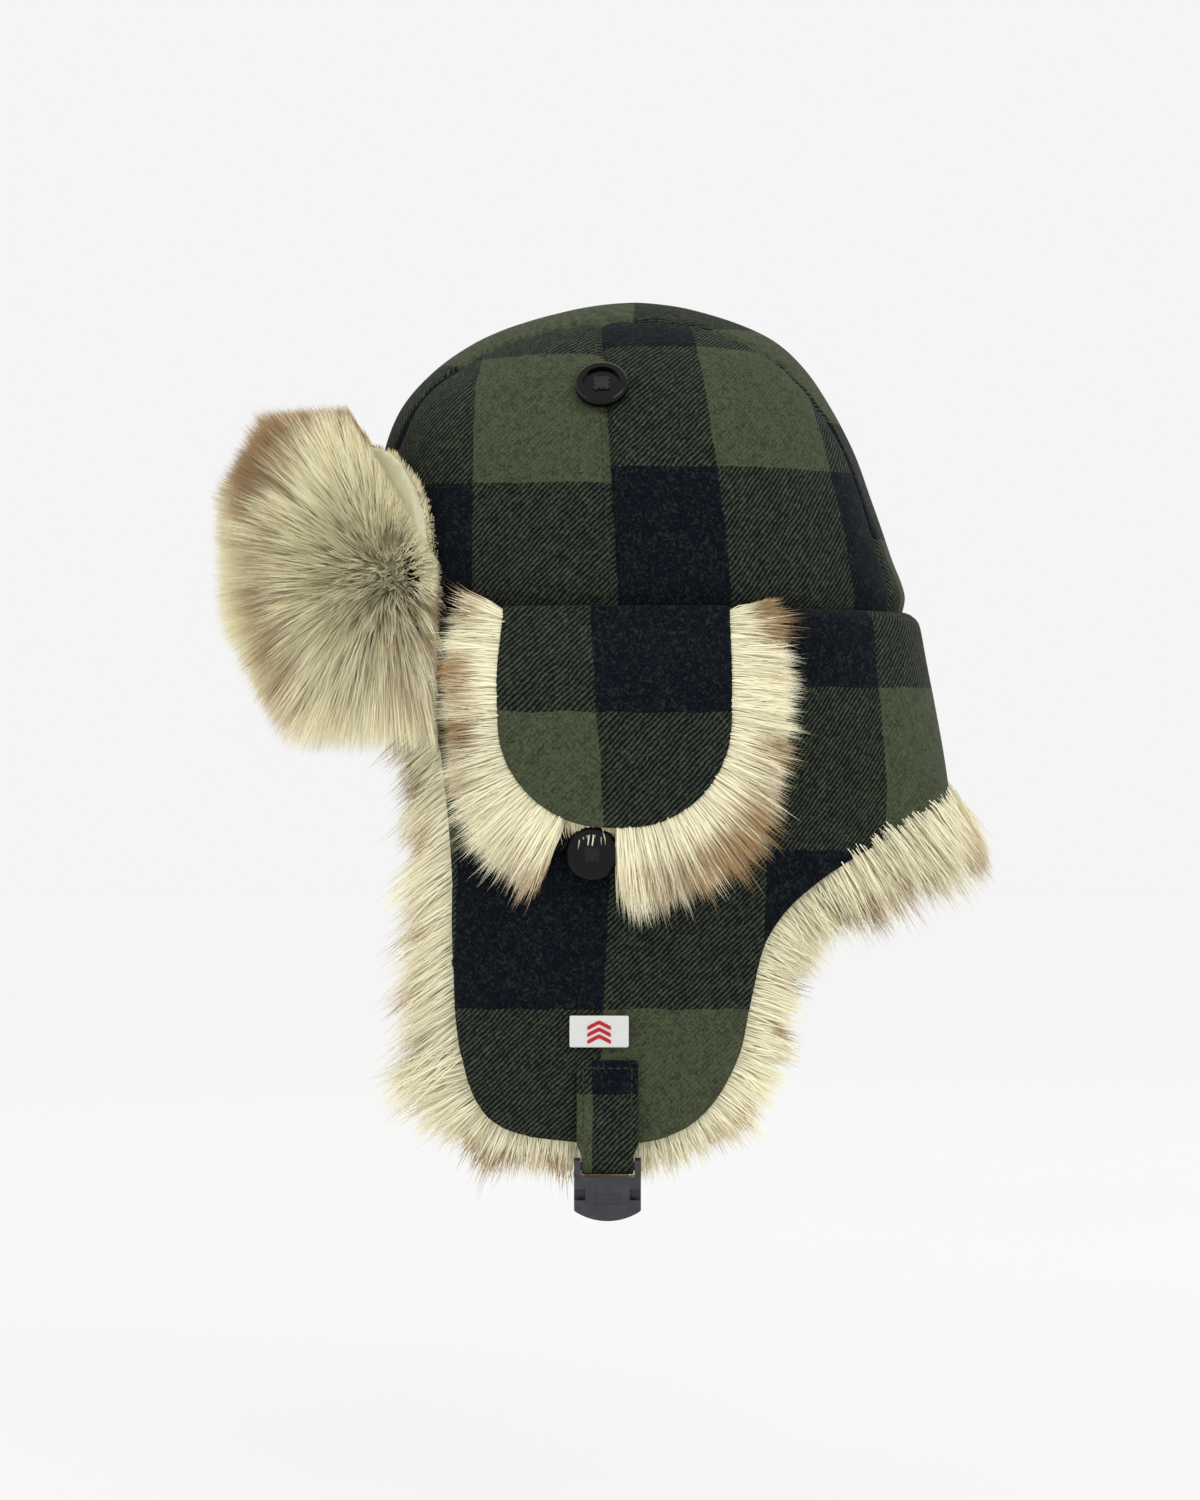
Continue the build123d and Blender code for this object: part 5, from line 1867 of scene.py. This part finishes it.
@dataclass
class Label:
    """The woven label on the left flap, with a plain motif of three chevrons.

    Attributes:
        wardrobe: the finishes.
        middle: its middle, as (y, z).
        size: its width and height.
    """

    wardrobe: Wardrobe
    middle: tuple[float, float] = (-19.5, -166.0)
    size: tuple[float, float] = (23.0, 12.5)

    def patch(self, name: str, outline: list[tuple[float, float]], proud: float, thickness: float,
              spacing: float) -> bpy.types.Object:
        """A flat patch laid on the flap, with its outline given from the label's middle."""
        arc, run = CURTAIN_FORM.place_of(np.array([self.middle[0]]), np.array([self.middle[1]]))
        corners = [(arc[0] + a, run[0] - b) for a, b in outline]
        shape = rounded_outline(corners, spacing, tuple(range(len(corners))))
        return Cloth(name, CURTAIN_FORM, Side.LEFT, shape, Plaid(), proud, spacing, thickness).build()

    def build(self) -> None:
        """Makes the label's cloth and its motif."""
        wide, high = self.size[0] / 2, self.size[1] / 2
        cloth = self.patch("label_cloth", [(-wide, -high), (wide, -high), (wide, high), (-wide, high)],
                           2.3, 0.5, 1.2)
        finish_piece(cloth, Slot.LABEL, self.wardrobe.made["label"], "left_ear_flap", "woven_label")
        motifs = []
        for rise in (-2.9, -0.2, 2.5):
            chevron = [(-4.6, rise - 1.5), (0, rise + 0.9), (4.6, rise - 1.5), (4.6, rise + 0.1),
                       (0, rise + 2.5),
                       (-4.6, rise + 0.1)]
            motifs.append(self.patch("motif", [(a, b - 0.5) for a, b in chevron], 2.62, 0.3, 0.9))
        motif = join(motifs, "label_motif")
        finish_piece(motif, Slot.LABEL, self.wardrobe.made["motif"], "left_ear_flap")


@dataclass
class Trims:
    """The CAD parts that stay as they are: buttons, threads, loops and buckle."""

    wardrobe: Wardrobe
    finishes: tuple[tuple[str, str], ...] = (
        ("left_crown_button", "button"), ("right_crown_button", "button"), ("left_hatch_button", "button"),
        ("right_hatch_button", "button"), ("button_threads", "thread"), ("left_hatch_loop", "elastic"),
        ("right_hatch_loop", "elastic"), ("buckle_socket", "buckle"), ("buckle_plug", "buckle"))

    def build(self) -> None:
        """Gives each carried-over part its finish."""
        for node, finish in self.finishes:
            part = bpy.data.objects[node]
            for material_slot in part.material_slots:
                material_slot.material = self.wardrobe.made[finish]
            if not part.material_slots:
                part.data.materials.append(self.wardrobe.made[finish])
            log.info("%s: finished as %s", node, finish)


@dataclass
class SeamStitches:
    """The edge stitching beside the side seams.

    Attributes:
        wardrobe: the finishes.
        side: the wearer's side.
        beside: distance behind the seam.
    """

    wardrobe: Wardrobe
    side: Side
    beside: float = -2.6

    def build(self) -> None:
        """Sews the row from the crown's seam up to the strip."""
        heights = np.linspace(3.0, 104.0, 40)
        y = SIDE_SEAM_Y - SEAM_LEAN * heights + self.beside
        run = CROWN_FORM.run_at(heights)
        _, middle, length, width, square = smooth_columns(run, CROWN_FORM.runs, CROWN_FORM.table).T
        share = np.abs((y - middle) / length)
        x = width * (1 - share**square) ** (1 / square)
        places = np.column_stack([x, y, heights])
        keep = x > STRIP_HALF + STRIP_SPREAD * (TOP - heights) + 2
        normal = unit(places - np.array([0.0, -6.0, 10.0]))
        places = places + normal * 0.35
        places[:, 0] *= self.side.value
        normal[:, 0] *= self.side.value
        piece = Stitches(3.4, 2.3, 0.6).row(f"stitches_{self.side.word}_side_seam", places[keep],
                                            normal[keep])
        finish_piece(piece, Slot.THREAD, self.wardrobe.made["stitch"], "crown")


# ---------------------------------------------------------------- the studio
@dataclass
class Studio:
    """A pale floor, soft lights and the camera.

    Attributes:
        aim: where the camera looks, in metres.
        away: its distance from that place.
        lens: its lens in millimetres, on a 36 mm sensor.
        floor_z: the floor's height.
    """

    aim: tuple[float, float, float] = (0.03, -0.0192, -0.0572)
    away: float = 1.667
    lens: float = 100.0
    floor_z: float = -0.36

    def floor(self) -> None:
        """Makes the floor."""
        piece = primitive("plane", "studio_floor", size=14.0, location=(0, 0, self.floor_z))
        settle(piece)
        material, graph, shader = new_material("studio_paper", Surface(0.9, 0.1))
        grain = graph.noise(graph.add("TexCoord").outputs["Object"], 3.0, 2.0)
        colour = graph.mix(grain, rgba((0.17, 0.17, 0.17)), rgba((0.18, 0.18, 0.18)))
        graph.tree.links.new(colour, shader.inputs["Base Color"])
        shader.inputs["Emission Color"].default_value = (1.0, 1.0, 1.0, 1.0)
        shader.inputs["Emission Strength"].default_value = 0.725
        piece.data.materials.append(material)

    def lamp(self, name: str, place: tuple[float, float, float], size: float, power: float) -> None:
        """Adds a soft square lamp that looks at the hat."""
        deselect()
        bpy.ops.object.light_add(type="AREA", location=place)
        lamp = bpy.context.object
        lamp.name = name
        lamp.data.size = size
        lamp.data.energy = power
        lamp.rotation_euler = (Vector(self.aim) - Vector(place)).to_track_quat("-Z", "Y").to_euler()

    def build(self) -> None:
        """Makes the floor, the lamps, the sky and the camera."""
        self.floor()
        self.lamp("key_lamp", (1.5, 0.9, 1.5), 1.0, 14.0)
        self.lamp("front_lamp", (0.9, -1.7, 0.6), 1.6, 6.0)
        self.lamp("back_lamp", (-1.5, 0.6, 1.1), 1.6, 5.0)
        world = bpy.data.worlds.new("studio_sky")
        bpy.context.scene.world = world
        world.use_nodes = True
        world.node_tree.nodes["Background"].inputs["Color"].default_value = (0.913, 0.913, 0.913, 1.0)
        world.node_tree.nodes["Background"].inputs["Strength"].default_value = 1.0
        deselect()
        aim = Vector(self.aim)
        bpy.ops.object.camera_add(location=aim + Vector((self.away, 0, 0)),
                                  rotation=(math.pi / 2, 0, math.pi / 2))
        camera = bpy.context.object
        camera.data.lens = self.lens
        bpy.context.scene.camera = camera
        bpy.context.scene.view_settings.view_transform = "Standard"


def main() -> None:
    """Builds the hat from the crown outwards, then the studio."""
    logging.basicConfig(level=logging.INFO, format="%(message)s")
    wardrobe = Wardrobe().build()
    Crown(wardrobe).build()
    for side in Side:
        SidePiece(wardrobe, side).build()
        Hatch(wardrobe, side).build()
        Tab(wardrobe, side).build()
        SeamStitches(wardrobe, side).build()
    Visor(wardrobe).build()
    Label(wardrobe).build()
    Trims(wardrobe).build()
    Studio().build()


if __name__ == "__main__":
    main()
